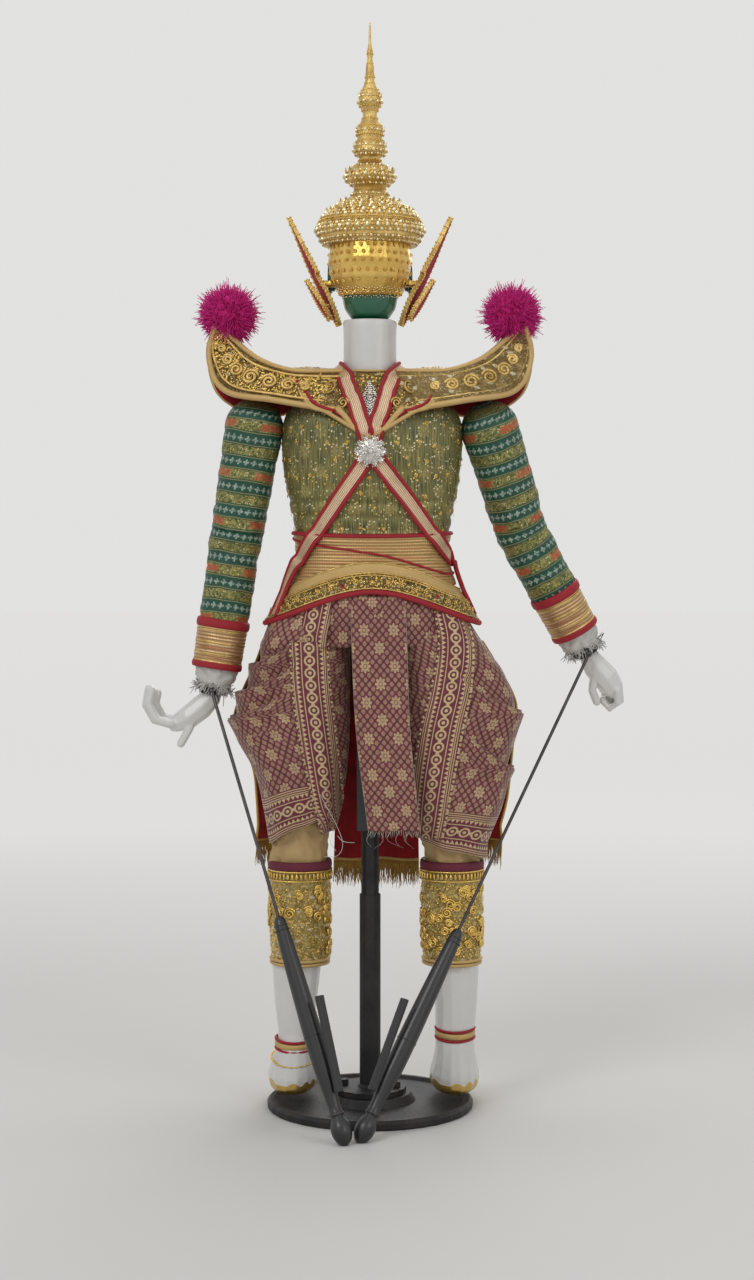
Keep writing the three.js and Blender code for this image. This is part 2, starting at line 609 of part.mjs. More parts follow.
// The toggle's stem runs level from the shoulder's middle into the trunk
function toggleStem(side, margin) {
  const inward = new THREE.Vector3(-Math.sign(side.shoulder.x), 0, 0);
  const end = side.shoulder.clone().addScaledVector(inward, 1);
  return solid(aim(turned([[arm.toggleStem + margin, 0], [arm.toggleStem + margin, arm.toggleReach + margin]], sides.small),
    side.shoulder, end));
}

function makeArm(side, handForm) {
  const { name, shoulder, elbow, wrist } = side;
  piece(group, "shoulder_toggle_" + name, toggleStem(side, 0).add(ball(arm.toggleBall, shoulder, sides.small)), bareWood);

  // Upper arm, hung at the shoulder: a ball end, a slanted rim and the elbow's cup
  const toElbow = elbow.clone().sub(shoulder);
  const length = toElbow.length();
  const origin = new THREE.Vector3();
  const ballArc = [];
  for (let turn = -80; turn <= 20; turn += 20) {
    const angle = THREE.MathUtils.degToRad(turn);
    ballArc.push([arm.ballRadius * Math.cos(angle), arm.ballRadius * Math.sin(angle)]);
  }
  const profile = [[0, -arm.ballRadius], ...ballArc, [arm.shoulderRadius, 36], [arm.elbowRadius, length]];
  const sleeve = solid(aim(turned(profile), origin, toElbow));
  const stemWay = new THREE.Vector3(-Math.sign(shoulder.x), 0, 0)
    .applyAxisAngle(liftAxis(side), THREE.MathUtils.degToRad(-arm.lift / 2));
  const stemMouth = solid(aim(turned([[arm.toggleStem + 1.9, 0], [arm.toggleStem + 16, 32]], sides.small), origin, stemWay));
  const rimCutter = new THREE.BoxGeometry(wide, wide, wide).translate(0, 0, -wide / 2);
  rimCutter.rotateX(THREE.MathUtils.degToRad(elbowRim.slant));
  const rimTurn = new THREE.Matrix4().makeBasis(
    liftWay(side).clone().cross(new THREE.Vector3(0, 0, 1)), liftWay(side), new THREE.Vector3(0, 0, 1));
  rimCutter.applyMatrix4(rimTurn);
  const rimPoint = toElbow.clone().multiplyScalar((length - elbowRim.middle) / length);
  rimCutter.translate(rimPoint.x, rimPoint.y, rimPoint.z);
  piece(group, "upper_arm_" + name, cutAll(sleeve, [
    ball(arm.toggleBall + ballGap, origin, sides.limb), stemMouth, ball(arm.elbowBall + ballGap, toElbow, sides.cup),
    solid(rimCutter),
  ]), greenSleeve, shoulder);

  // Forearm, hung at the elbow: a ball end, the sleeve, and a narrow seat under the cuff
  const toWrist = wrist.clone().sub(elbow);
  const reach = toWrist.length();
  const stubEnd = reach - wristWrap.length;
  const cuffEnd = stubEnd - wristWrap.stub;
  const cuffStart = cuffEnd - arm.cuffLength;
  const arc = [];
  for (let turn = -70; turn <= 0; turn += 17.5) {
    const angle = THREE.MathUtils.degToRad(turn);
    arc.push([arm.elbowBall * Math.cos(angle), arm.elbowBall * Math.sin(angle)]);
  }
  const foreProfile = [
    [0, -arm.elbowBall], ...arc, [arm.sleeveRadius, 14], [arm.sleeveRadius, cuffStart - seatGap],
    [arm.cuffSeat, cuffStart - seatGap], [arm.cuffSeat, cuffEnd], [arm.wristRadius, cuffEnd],
    [arm.wristRadius, stubEnd], [wristWrap.pegRadius + slideGap, stubEnd],
    [wristWrap.pegRadius + slideGap, stubEnd - wristWrap.pegLength - seatGap],
  ];
  piece(group, "forearm_" + name, solid(aim(turned(foreProfile), origin, toWrist)), greenSleeve, elbow);
  const cuffIn = arm.cuffSeat + seatGap;
  const cuff = aim(ringLathe([
    [cuffIn, cuffStart], [arm.sleeveRadius + 0.8, cuffStart], [arm.sleeveRadius + 0.2, cuffEnd - 2],
    [arm.sleeveRadius - 0.6, cuffEnd], [cuffIn, cuffEnd],
  ], sides.limb), origin, toWrist);
  piece(group, "cuff_" + name, solid(cuff), goldCloth, elbow);

  // The rod's strap rings the stub between cuff and wrist, with a tab towards the rod
  const along = toWrist.clone().normalize();
  const strapIn = arm.wristRadius + seatGap;
  const strapMiddle = cuffEnd + rodStrap.drop + rodStrap.length / 2;
  const strapRing = solid(aim(ringLathe([
    [strapIn, cuffEnd + rodStrap.drop], [strapIn + rodStrap.thick, cuffEnd + rodStrap.drop],
    [strapIn + rodStrap.thick, cuffEnd + rodStrap.drop + rodStrap.length], [strapIn, cuffEnd + rodStrap.drop + rodStrap.length],
  ], sides.limb), origin, toWrist));
  const rodEye = rodPivot(side).sub(elbow);
  const tabFrom = along.clone().multiplyScalar(strapMiddle)
    .addScaledVector(rodSide(side), strapIn + rodStrap.thick / 2);
  const tabTo = rodEye.clone().addScaledVector(tabFrom.clone().sub(rodEye).normalize(), rodLink.radius + seatGap);
  const tab = solid(aim(turned([[rodStrap.tab / 2, 0], [rodStrap.tab / 2, tabFrom.distanceTo(tabTo)]], sides.finger + 2), tabFrom, tabTo));
  piece(group, "rod_strap_" + name, strapRing.add(tab).subtract(ball(rodLink.radius + seatGap, rodEye, sides.small)),
    blackLacquer, elbow);
  piece(group, "rod_link_" + name, ball(rodLink.radius, origin, sides.finger + 2), blackIron, rodPivot(side));

  // The wrist cloth turns on a peg in the forearm, and the hand flexes at its end
  const wrapStart = stubEnd + seatGap;
  const wrap = solid(aim(turned([
    [wristWrap.pegRadius, stubEnd - wristWrap.pegLength], [wristWrap.pegRadius, wrapStart],
    [wristWrap.radius, wrapStart], [wristWrap.endRadius, reach + 1],
  ]), origin, toWrist));
  piece(group, "wrist_wrap_" + name, wrap.subtract(ball(palmRoot.radius + ballGap, toWrist.clone().setLength(reach + palmRoot.drop), sides.limb)),
    whiteLinen, elbow);
  const knuckle = [...along.clone().multiplyScalar(palmRoot.drop).toArray(), palmRoot.radius];
  const palm = limb([knuckle, ...handForm.palm], sides.finger + 2);
  const fingers = handForm.fingers.map((joints) => limb(joints.map(([x, y, z]) => [x, y, z, fingerRadius]), sides.finger));
  piece(group, "hand_" + name, joinAll([palm, ...fingers]), whiteSkin, wrist);
}

// A closed ring turned about its axis, from a profile that never meets it
function ringLathe(profile, segments) {
  const closed = [...profile, profile[0]];
  return new THREE.LatheGeometry(closed.map(([r, h]) => new THREE.Vector2(r, h)), segments);
}

// Where a rod hangs: behind the wrist, square to the forearm
function rodSide(side) {
  const along = side.wrist.clone().sub(side.elbow).normalize();
  const back = new THREE.Vector3(0, -1, 0);
  return back.addScaledVector(along, -back.dot(along)).normalize();
}
function rodPivot(side) {
  return side.wrist.clone().addScaledVector(rodSide(side), rodStrap.reach);
}

function makeRod(side) {
  const { name, rodTip } = side;
  const pivot = rodPivot(side);
  const axis = pivot.clone().sub(rodTip).normalize();
  const length = pivot.distanceTo(rodTip);
  const wireBase = handle.length - 30;
  const hole = solid(aim(turned([[wireRadius + seatGap, wireBase - seatGap], [wireRadius + seatGap, length]], sides.small),
    new THREE.Vector3(), axis));
  const grip = solid(aim(turned(handle.profile, sides.small), new THREE.Vector3(), axis));
  const wire = solid(aim(turned([[wireRadius, wireBase], [wireRadius, length - rodLink.radius - seatGap]], sides.finger + 2),
    new THREE.Vector3(), axis));
  const out = liftAxis(side).cross(axis).normalize();
  const acrossWay = new THREE.Vector3().crossVectors(out, axis);
  const basis = new THREE.Matrix4().makeBasis(acrossWay, out, axis);
  const lever = new THREE.BoxGeometry(trigger.halfWidth * 2, trigger.halfThick * 2, trigger.length)
    .translate(0, 0, trigger.length / 2)
    .rotateX(THREE.MathUtils.degToRad(-trigger.spread))
    .translate(0, trigger.standOff + trigger.halfThick, trigger.pivot)
    .applyMatrix4(basis);
  const lugHeight = trigger.standOff - seatGap;
  const lug = new THREE.BoxGeometry(trigger.halfWidth * 1.6, lugHeight, trigger.lug)
    .translate(0, lugHeight / 2, trigger.pivot + trigger.lug / 2)
    .applyMatrix4(basis);
  piece(group, "rod_handle_" + name, grip.add(solid(lug)).subtract(hole), blackLacquer, rodTip);
  piece(group, "rod_wire_" + name, wire, blackIron, rodTip);
  piece(group, "trigger_" + name, solid(lever), blackLacquer, rodTip);
}

function makeLeg(leg) {
  const { name, side } = leg;
  const hipMiddle = new THREE.Vector3(side * hip.x, 0, hip.z);
  const kneeMiddle = new THREE.Vector3(leg.kneeX, 0, knee.z);
  const thigh = ball(hip.radius, hipMiddle).add(ovalBody(leg.thigh, 0, sides.limb));
  piece(group, "thigh_" + name, thigh.subtract(ball(knee.radius + ballGap, kneeMiddle, sides.cup)), bareWood);

  const [topRing, lastRing] = [leg.thigh[0], leg.thigh[leg.thigh.length - 1]];
  const through = [[topRing[0] + 40, ...topRing.slice(1)], ...leg.thigh, [lastRing[0] - 30, ...lastRing.slice(1)]];
  const room = ovalBody(through, seatGap * 2, sides.limb).add(ball(hip.radius + ballGap, hipMiddle));
  const over = new THREE.BoxGeometry(wide * 2, wide * 2, wide).translate(0, 0, wide / 2)
    .rotateX(THREE.MathUtils.degToRad(-lift.slant))
    .translate(0, 0, lift.top);
  const above = solid(over);
  const cloth = ovalBody(leg.trousers, 0, sides.crown);
  piece(group, "trousers_" + name, cutAll(cloth, [room, above]), maroonBrocade);

  const last = leg.trousers[leg.trousers.length - 1];
  const flared = [last[1], last[2], last[3] + sidePanel.flare, last[4] + sidePanel.flare];
  const hung = [...leg.trousers, [sidePanel.bottom, ...flared]];
  const skin = ovalBody(hung, seatGap + sidePanel.thick, sides.crown).subtract(ovalBody(
    [...hung, [sidePanel.bottom - 5, ...flared]], seatGap, sides.crown));
  const innerX = last[1] + side * last[3] * sidePanel.innerShare;
  const [x0, x1] = [innerX, side * wide].sort((a, b) => a - b);
  const patch = block(x0, x1, sidePanel.back, sidePanel.front, sidePanel.bottom, hip.z);
  piece(group, "side_panel_" + name, skin.intersect(patch).subtract(above), redVelvet);

  const shin = ovalBody(leg.shin, 0, sides.limb).add(ball(knee.radius, kneeMiddle));
  piece(group, "lower_leg_" + name, shin, whiteSkin);
  const middleX = (leg.shin[7][1] + leg.kneeX) / 2;
  const stocking = ovalBody([[sock.bottom, middleX, 0, sock.narrow, sock.narrow],
    [sock.top, middleX, 0, sock.wide, sock.wide]], 0, sides.crown);
  piece(group, "sock_" + name, cutAll(stocking, [ovalBody(leg.shin, seatGap, sides.limb),
    ball(knee.radius + seatGap * 2, kneeMiddle)]), goldCloth);
}

makeStand();
makeTrunk();
makePanels();
makeHead();
makeArm(leftArm, leftHand);
makeArm(rightArm, rightHand);
makeRod(leftArm);
makeRod(rightArm);
makeLeg(leftLeg);
makeLeg(rightLeg);

export default group;
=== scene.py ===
# A carved rod puppet in dance dress on its iron stand, seen from behind. Metres, Z up, it faces +Y.
import json
import random
from functools import partial
from math import acos, copysign, cos, exp, floor, pi, radians, sin, sqrt
from math import tau as fullTurn

import bmesh
import bpy
from mathutils import Matrix, Vector, noise


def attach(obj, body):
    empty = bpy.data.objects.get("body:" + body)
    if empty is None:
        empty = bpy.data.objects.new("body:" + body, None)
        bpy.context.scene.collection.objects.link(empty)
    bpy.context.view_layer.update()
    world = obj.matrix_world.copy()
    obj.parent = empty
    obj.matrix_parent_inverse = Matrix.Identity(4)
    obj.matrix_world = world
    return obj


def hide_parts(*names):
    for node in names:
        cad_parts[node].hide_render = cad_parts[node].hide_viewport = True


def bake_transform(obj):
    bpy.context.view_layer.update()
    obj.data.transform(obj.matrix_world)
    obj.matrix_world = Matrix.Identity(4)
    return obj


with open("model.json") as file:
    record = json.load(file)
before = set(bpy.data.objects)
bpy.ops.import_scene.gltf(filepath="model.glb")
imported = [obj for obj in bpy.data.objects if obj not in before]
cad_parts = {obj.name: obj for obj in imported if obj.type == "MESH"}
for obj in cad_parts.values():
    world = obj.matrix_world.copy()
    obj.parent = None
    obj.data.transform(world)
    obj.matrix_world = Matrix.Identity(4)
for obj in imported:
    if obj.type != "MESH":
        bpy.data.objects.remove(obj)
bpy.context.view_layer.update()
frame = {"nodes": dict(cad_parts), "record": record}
cadNodes = frame["nodes"]
scene = bpy.context.scene
mm = 0.001

# camera, light and floor

photoView = {"place": (0.0065, -2.15, 0.538), "pitchDeg": 2.61, "sensor": 36, "focalShare": 2300 / 1280}
room = {
    "floorColor": (0.80, 0.79, 0.77), "wallColor": (0.86, 0.86, 0.85), "worldLight": 0.42, "seenLight": 0.88,
    "lamps": [
        ("keyLamp", (-1.5, -2.3, 2.5), 1.5, 26),
        ("fillLamp", (1.9, -2.0, 1.5), 1.7, 11),
        ("topLamp", (0.2, 0.5, 3.0), 1.4, 14),
        ("frontLamp", (0.6, 2.6, 1.8), 1.8, 16),
    ],
}


def setCamera():
    data = bpy.data.cameras.new("photoCamera")
    data.sensor_width = photoView["sensor"]
    data.lens = photoView["sensor"] * photoView["focalShare"]
    camera = bpy.data.objects.new("photoCamera", data)
    scene.collection.objects.link(camera)
    camera.location = photoView["place"]
    camera.rotation_euler = (radians(90 - photoView["pitchDeg"]), 0, 0)
    scene.camera = camera


def setLamps():
    for name, place, size, power in room["lamps"]:
        data = bpy.data.lights.new(name, "AREA")
        data.shape = "DISK"
        data.size = size
        data.energy = power
        lamp = bpy.data.objects.new(name, data)
        scene.collection.objects.link(lamp)
        lamp.location = place
        lamp.rotation_euler = (Vector((0, 0, 0.5)) - lamp.location).to_track_quat("-Z", "Y").to_euler()


# node helpers

class Field:
    # A value or colour that varies over a surface. Sums are written with it as with numbers.
    def __init__(self, socket):
        self.socket = socket

    def __add__(self, other):
        return calc("ADD", self, other)

    def __mul__(self, other):
        return calc("MULTIPLY", self, other)

    __radd__, __rmul__ = __add__, __mul__

    def __sub__(self, other):
        return calc("SUBTRACT", self, other)

    def __rsub__(self, other):
        return calc("SUBTRACT", other, self)

    def __truediv__(self, other):
        return calc("DIVIDE", self, other)

    def __rtruediv__(self, other):
        return calc("DIVIDE", other, self)

    def __lt__(self, other):
        return calc("LESS_THAN", self, other)

    def __gt__(self, other):
        return calc("GREATER_THAN", self, other)

    def __abs__(self):
        return calc("ABSOLUTE", self)


def fieldsOf(node):
    # A node's outputs, by number and by name.
    return {key: Field(socket) for i, socket in enumerate(node.outputs) for key in (i, socket.name)}


def setInputs(node, inputs):
    # Fields are linked, other values are set.
    for key, value in inputs.items():
        if isinstance(value, Field):
            node.id_data.links.new(value.socket, node.inputs[key])
        else:
            node.inputs[key].default_value = value


def addNode(kind, inputs, **settings):
    tree = next(value.socket.id_data for value in inputs.values() if isinstance(value, Field))
    node = tree.nodes.new("ShaderNode" + kind)
    for key, value in settings.items():
        setattr(node, key, value)
    setInputs(node, inputs)
    return fieldsOf(node)


def calc(operation, *values, clamp=False):
    return addNode("Math", dict(enumerate(values)), operation=operation, use_clamp=clamp)[0]


sine, cosine, root, fraction = (partial(calc, kind) for kind in ("SINE", "COSINE", "SQRT", "FRACT"))
larger, arcTangent = partial(calc, "MAXIMUM"), partial(calc, "ARCTAN2")


def splitUp(vector):
    return addNode("SeparateXYZ", {0: vector})


def stretched(vector, x, y):
    return addNode("Mapping", {"Vector": vector, "Scale": (x, y, 1)})[0]


def blend(share, first, second):
    first, second = (value if isinstance(value, Field) else (*value, 1) for value in (first, second))
    return addNode("Mix", {0: share, 6: first, 7: second}, data_type="RGBA")[2]


def ramp(value, low, high):
    # Runs from 0 at low to 1 at high.
    return addNode("MapRange", {0: value, 1: low, 2: high}, clamp=True)[0]


def noiseOf(vector, scale, detail=3, rough=0.55, distort=0.0):
    return addNode("TexNoise", {"Vector": vector, "Scale": scale, "Detail": detail, "Roughness": rough,
                                "Distortion": distort})["Fac"]


def newGroup(name, inputs, outputs):
    # Inputs without a value are vectors, the rest are numbers.
    tree = bpy.data.node_groups.new(name, "ShaderNodeTree")
    for label, value in inputs.items():
        kind = "NodeSocketVector" if value is None else "NodeSocketFloat"
        socket = tree.interface.new_socket(label, in_out="INPUT", socket_type=kind)
        if value is not None:
            socket.default_value = value
    for label in outputs:
        tree.interface.new_socket(label, in_out="OUTPUT", socket_type="NodeSocketFloat")
    return fieldsOf(tree.nodes.new("NodeGroupInput")), tree.nodes.new("NodeGroupOutput")


def placeGroup(group, **inputs):
    return addNode("Group", inputs, node_tree=group)


def patinaOn(coords, scale):
    return placeGroup(patinaGroup, Vector=coords["Object"], Scale=scale)


def newMaterial(name, **fixed):
    # A material and its coordinates. The fixed values go straight onto the shader's sockets.
    material = bpy.data.materials.new(name)
    material.use_nodes = True
    setInputs(material.node_tree.nodes["Principled BSDF"], fixed)
    return material, fieldsOf(material.node_tree.nodes.new("ShaderNodeTexCoord"))


def setLook(material, color, rough, height, strength, depth, metal=None):
    # Colour, roughness, relief and, where it varies, metal.
    bump = addNode("Bump", {"Height": height, "Strength": strength, "Distance": depth})[0]
    look = {"Base Color": color, "Roughness": rough, "Normal": bump}
    if metal is not None:
        look["Metallic"] = metal
    setInputs(material.node_tree.nodes["Principled BSDF"], look)
    return material


# mesh helpers

downward = Vector((0, 0, -1))


def at(x, y, z):
    # A point given in mm.
    return Vector((x, y, z)) * mm


def outwardAt(angle):
    return Vector((cos(angle), sin(angle), 0))


def turnTo(direction):
    # A turn that lays Z along the direction.
    return Vector(direction).to_track_quat("Z", "Y").to_matrix().to_4x4()


def drift(spread):
    return Vector([random.gauss(0, spread) for _ in range(3)])


def shake(reach):
    return Vector([random.uniform(-reach, reach) for _ in range(3)])


def newPart():
    part = bmesh.new()
    part.loops.layers.uv.new("cloth")
    return part


def placeMesh(name, bm, materials):
    mesh = bpy.data.meshes.new(name)
    bm.normal_update()
    bm.to_mesh(mesh)
    bm.free()
    for material in materials:
        mesh.materials.append(material)
    piece = bpy.data.objects.new(name, mesh)
    scene.collection.objects.link(piece)
    return piece


def addPiece(name, bm, looks, body, replaced=(), smooth=True, wall=None, offset=-1):
    # Turns the bmesh into an object that rides on its body. Looks are names of finishes; wall is a cloth's thickness.
    piece = placeMesh(name, bm, [finish[look] for look in looks.split()])
    if smooth:
        piece.data.shade_smooth()
    if body:
        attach(piece, body)
    if replaced:
        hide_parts(*replaced)
    if wall:
        addModifier(piece, "SOLIDIFY", thickness=wall, offset=offset)
    return piece


def addModifier(piece, kind, **settings):
    made = piece.modifiers.new(kind.title(), kind)
    for key, value in settings.items():
        setattr(made, key, value)
    return made


def layRows(bm, rows, joinSides=False, joinEnds=False, fillEnds=False, slotIndex=0):
    # A grid laid through rows of points, with a map in metres: U along each row from its middle, V from row to row.
    across, along = len(rows[0]) - 1, len(rows) - 1
    part = bmesh.new()
    bmesh.ops.create_grid(part, x_segments=across, y_segments=along, size=0.5)
    mapLayer = part.loops.layers.uv.new("cloth")
    runs = [[0.0] for _ in rows]
    for row, run in zip(rows, runs):
        for before, after in zip(row, row[1:]):
            run.append(run[-1] + (after - before).length)
    middle = across // 2
    downs = [0.0]
    for before, after in zip(rows, rows[1:]):
        downs.append(downs[-1] + sum((b - a).length for a, b in zip(before, after)) / (across + 1))
    where = {}
    for vert in part.verts:
        column = round((vert.co.x + 0.5) * across)
        line = round((vert.co.y + 0.5) * along)
        where[vert] = (runs[line][column] - runs[line][middle], downs[line])
        vert.co = rows[line][column]
    for face in part.faces:
        face.material_index = slotIndex
        for loop in face.loops:
            loop[mapLayer].uv = where[loop.vert]
    if joinSides or joinEnds:
        bmesh.ops.remove_doubles(part, verts=part.verts[:], dist=1e-6)
    if fillEnds:
        openEdges = [edge for edge in part.edges if edge.is_boundary]
        bmesh.ops.holes_fill(part, edges=openEdges, sides=0)
    bmesh.ops.recalc_face_normals(part, faces=part.faces[:])
    mergeInto(bm, part)


def mergeInto(bm, part):
    mesh = bpy.data.meshes.new("batch")
    part.to_mesh(mesh)
    part.free()
    bm.from_mesh(mesh)
    bpy.data.meshes.remove(mesh)


def laid(rows, **how):
    bm = bmesh.new()
    layRows(bm, rows, **how)
    return bm


def addCopies(bm, makeOne, places):
    # Small repeated shapes, made by one operator call each, in batches.
    batch = 120
    for start in range(0, len(places), batch):
        part = newPart()
        for place in places[start:start + batch]:
            makeOne(part, place)
        mergeInto(bm, part)


def addScatter(name, look, body, slot, *groups, smooth=False):
    # A piece of small copies, from pairs of shape and places.
    bm = bmesh.new()
    for makeOne, places in groups:
        addCopies(bm, makeOne, places)
    addPiece(name, bm, look, body, smooth=smooth)


def beadShape(part, place):
    bmesh.ops.create_icosphere(part, subdivisions=1, radius=1, matrix=place)


def gemShape(part, place):
    bmesh.ops.create_uvsphere(part, u_segments=8, v_segments=5, radius=1, matrix=place)


def sequinShape(part, place):
    bmesh.ops.create_cone(part, cap_ends=True, segments=6, radius1=1, radius2=0.55, depth=0.5, matrix=place)


def rosetteShape(part, place):
    # A small flower: six petals round a raised eye.
    bmesh.ops.create_icosphere(part, subdivisions=1, radius=0.34, matrix=place @ Matrix.Translation((0, 0, 0.3)))
    for step in range(6):
        turned = place @ Matrix.Rotation(step / 6 * fullTurn, 4, "Z") @ Matrix.Translation((0.62, 0, 0))
        bmesh.ops.create_cone(part, cap_ends=True, segments=5, radius1=0.36, radius2=0.16, depth=0.4, matrix=turned)


def standOn(point, normal, size, spin=0.0, flat=1.0):
    # A place for a copy, its size in mm and its Z along the surface's normal.
    size *= mm
    scale = Matrix.Diagonal((size, size, size * flat, 1))
    return Matrix.Translation(point) @ turnTo(normal) @ Matrix.Rotation(spin, 4, "Z") @ scale


def turnProfile(bm, profile, steps, place=None):
    # Spins (radius, height) points, in mm, about Z.
    part = newPart()
    verts = [part.verts.new((r * mm, 0, z * mm)) for r, z in profile]
    edges = [part.edges.new(pair) for pair in zip(verts, verts[1:])]
    bmesh.ops.spin(part, geom=verts + edges, cent=(0, 0, 0), axis=(0, 0, 1), angle=fullTurn, steps=steps,
                   use_merge=True)
    bmesh.ops.remove_doubles(part, verts=part.verts[:], dist=1e-6)
    bmesh.ops.recalc_face_normals(part, faces=part.faces[:])
    if place:
        bmesh.ops.transform(part, matrix=place, verts=part.verts[:])
    mergeInto(bm, part)


def smoothCurve(points, parts, closed=False):
    # Points along a smooth curve through the given ones.
    points = [Vector(p) for p in points]
    count = len(points)
    made = []
    spans = count if closed else count - 1
    for span in range(spans):
        if closed:
            a, b, c, d = (points[(span + k - 1) % count] for k in range(4))
        else:
            b, c = points[span], points[span + 1]
            a = points[span - 1] if span else b + (b - c)
            d = points[span + 2] if span + 2 < count else c + (c - b)
        for step in range(parts):
            t = step / parts
            made.append(0.5 * (2 * b + (c - a) * t + (2 * a - 5 * b + 4 * c - d) * t ** 2
                               + (3 * b - a - 3 * c + d) * t ** 3))
    if not closed:
        made.append(points[-1])
    return made


def ringsAlong(points, radii, sides, flat=1.0, up=None, closed=False):
    # Rings of points round a path, with a radius for each point.
    rows = []
    count = len(points)
    side = None
    for i, point in enumerate(points):
        before = points[i - 1] if (i or closed) else point
        after = points[(i + 1) % count] if (i < count - 1 or closed) else point
        ahead = (after - before).normalized()
        if up is not None:
            side = ahead.cross(Vector(up)).normalized()
        elif side is None:
            side = ahead.orthogonal().normalized()
        else:
            side = (side - ahead * side.dot(ahead)).normalized()
        other = ahead.cross(side)
        rows.append([point + radii[i] * (cos(a) * side + flat * sin(a) * other)
                     for a in (fullTurn * k / sides for k in range(sides + 1))])
    if closed:
        rows.append(rows[0])
    return rows


def addTube(bm, points, radius, sides=8, flat=1.0, up=None, closed=False, slotIndex=0):
    # Radius, in mm, is one number or one for each point.
    radii = [r * mm for r in (radius if isinstance(radius, list) else [radius] * len(points))]
    layRows(bm, ringsAlong(points, radii, sides, flat, up, closed), joinSides=True, joinEnds=closed,
            fillEnds=not closed, slotIndex=slotIndex)


def pointOn(rows, s, t):
    # The point and normal at shares s along a row and t from row to row.
    across, along = len(rows[0]) - 1, len(rows) - 1
    x, y = min(max(s, 0), 0.9999) * across, min(max(t, 0), 0.9999) * along
    i, j = int(x), int(y)
    u, v = x - i, y - j
    a, b, c, d = rows[j][i], rows[j][i + 1], rows[j + 1][i], rows[j + 1][i + 1]
    point = a * (1 - u) * (1 - v) + b * u * (1 - v) + c * (1 - u) * v + d * u * v
    normal = ((b - a) * (1 - v) + (d - c) * v).cross((c - a) * (1 - u) + (d - b) * u)
    return point, normal.normalized()


strandStops = (0, 0.35, 0.7, 1.0)


def strandFrom(start, ahead, lean, size):
    # A thread's points; its lean grows towards the end.
    return [start + (ahead + lean * t) * size * t for t in strandStops]


def plateOf(part, points, lift, thickness, depth, bothSides=False):
    # A flat plate with the outline, made thick along lift, and its faces inset. Returns the inset faces.
    plate = part.faces.new([part.verts.new(point) for point in points])
    made = bmesh.ops.extrude_face_region(part, geom=[plate])
    moved = [v for v in made["geom"] if isinstance(v, bmesh.types.BMVert)]
    bmesh.ops.translate(part, vec=lift, verts=moved)
    if bothSides:
        faces = [f for f in part.faces if len(f.verts) > 4]
        bmesh.ops.inset_individual(part, faces=faces, thickness=thickness, depth=depth)
    else:
        faces = [f for f in part.faces if all(v in moved for v in f.verts)]
        bmesh.ops.inset_region(part, faces=faces, thickness=thickness, depth=depth)
    bmesh.ops.recalc_face_normals(part, faces=part.faces[:])
    return faces


def addStrands(bm, strands, radius):
    # Threads: each is a short list of points that thins to its end.
    batch = 60
    radius *= mm
    for start in range(0, len(strands), batch):
        part = bmesh.new()
        for points in strands[start:start + batch]:
            last = len(points) - 1
            sizes = [radius * (1 - 0.75 * i / last) for i in range(last + 1)]
            layRows(part, ringsAlong(points, sizes, 3), joinSides=True, fillEnds=True)
        mergeInto(bm, part)


# effects that several finishes share

def makeWeave():
    # Over-and-under threads. Pitch is in metres of the map.
    given, out = newGroup("threadWeave", {"Vector": None, "Pitch": 0.001}, ["Height"])
    parts = splitUp(given["Vector"])
    turns = fullTurn / given["Pitch"]
    setInputs(out, {"Height": sine(parts[0] * turns) * sine(parts[1] * turns) * 0.5 + 0.5})
    return out.id_data


def makePatina():
    # Slow and fine colour change over a surface, and dust that gathers in patches.
    given, out = newGroup("patina", {"Vector": None, "Scale": 40.0}, ["Slow", "Fine", "Dust"])
    place, scale = given["Vector"], given["Scale"]
    setInputs(out, {"Slow": noiseOf(place, scale, 4, 0.6), "Fine": noiseOf(place, scale * 14.0, 3, 0.6),
                    "Dust": ramp(noiseOf(place, scale * 0.45, 5, 0.7, 0.4), 0.52, 0.72)})
    return out.id_data


def makeSparkle():
    # Scattered bright spots, as sequins and metal thread give. Share is how many of the spots shine.
    given, out = newGroup("sparkle", {"Vector": None, "Scale": 400.0, "Share": 0.3}, ["Glint", "Cell", "ShadedGap"])
    cells = addNode("TexVoronoi", {"Vector": given["Vector"], "Scale": given["Scale"]})
    pick, away = splitUp(cells["Color"]), cells["Distance"]
    # The gap mask marks the edges between cells; sequin cloth paints shade there.
    setInputs(out, {"Glint": (pick[0] < given["Share"]) * ramp(away, 0.42, 0.28), "Cell": pick[1],
                    "ShadedGap": ramp(away, 0.38, 0.6)})
    return out.id_data


def makeScrolls():
    # Curled stems of couched cord, one curl in each cell.
    given, out = newGroup("scrolls", {"Vector": None, "Scale": 60.0, "Turns": 13.0}, ["Ridge", "Eye"])
    stir = addNode("TexNoise", {"Vector": given["Vector"], "Scale": 45.0, "Detail": 1.0})["Color"]
    bent = addNode("VectorMath", {0: stir, 1: (0.006, 0.006, 0.0)}, operation="MULTIPLY")[0]
    moved = addNode("VectorMath", {0: given["Vector"], 1: bent}, operation="ADD")[0]
    cells = addNode("TexVoronoi", {"Vector": moved, "Scale": given["Scale"], "Randomness": 0.75},
                    voronoi_dimensions="2D")
    parts = splitUp(addNode("VectorMath", {0: moved, 1: cells["Position"]}, operation="SUBTRACT")[0])
    reach = cells["Distance"]
    wave = sine(arcTangent(parts[1], parts[0]) + reach * given["Turns"])
    setInputs(out, {"Ridge": ramp(wave, 0.1, 0.75), "Eye": ramp(reach, 0.16, 0.1)})
    return out.id_data


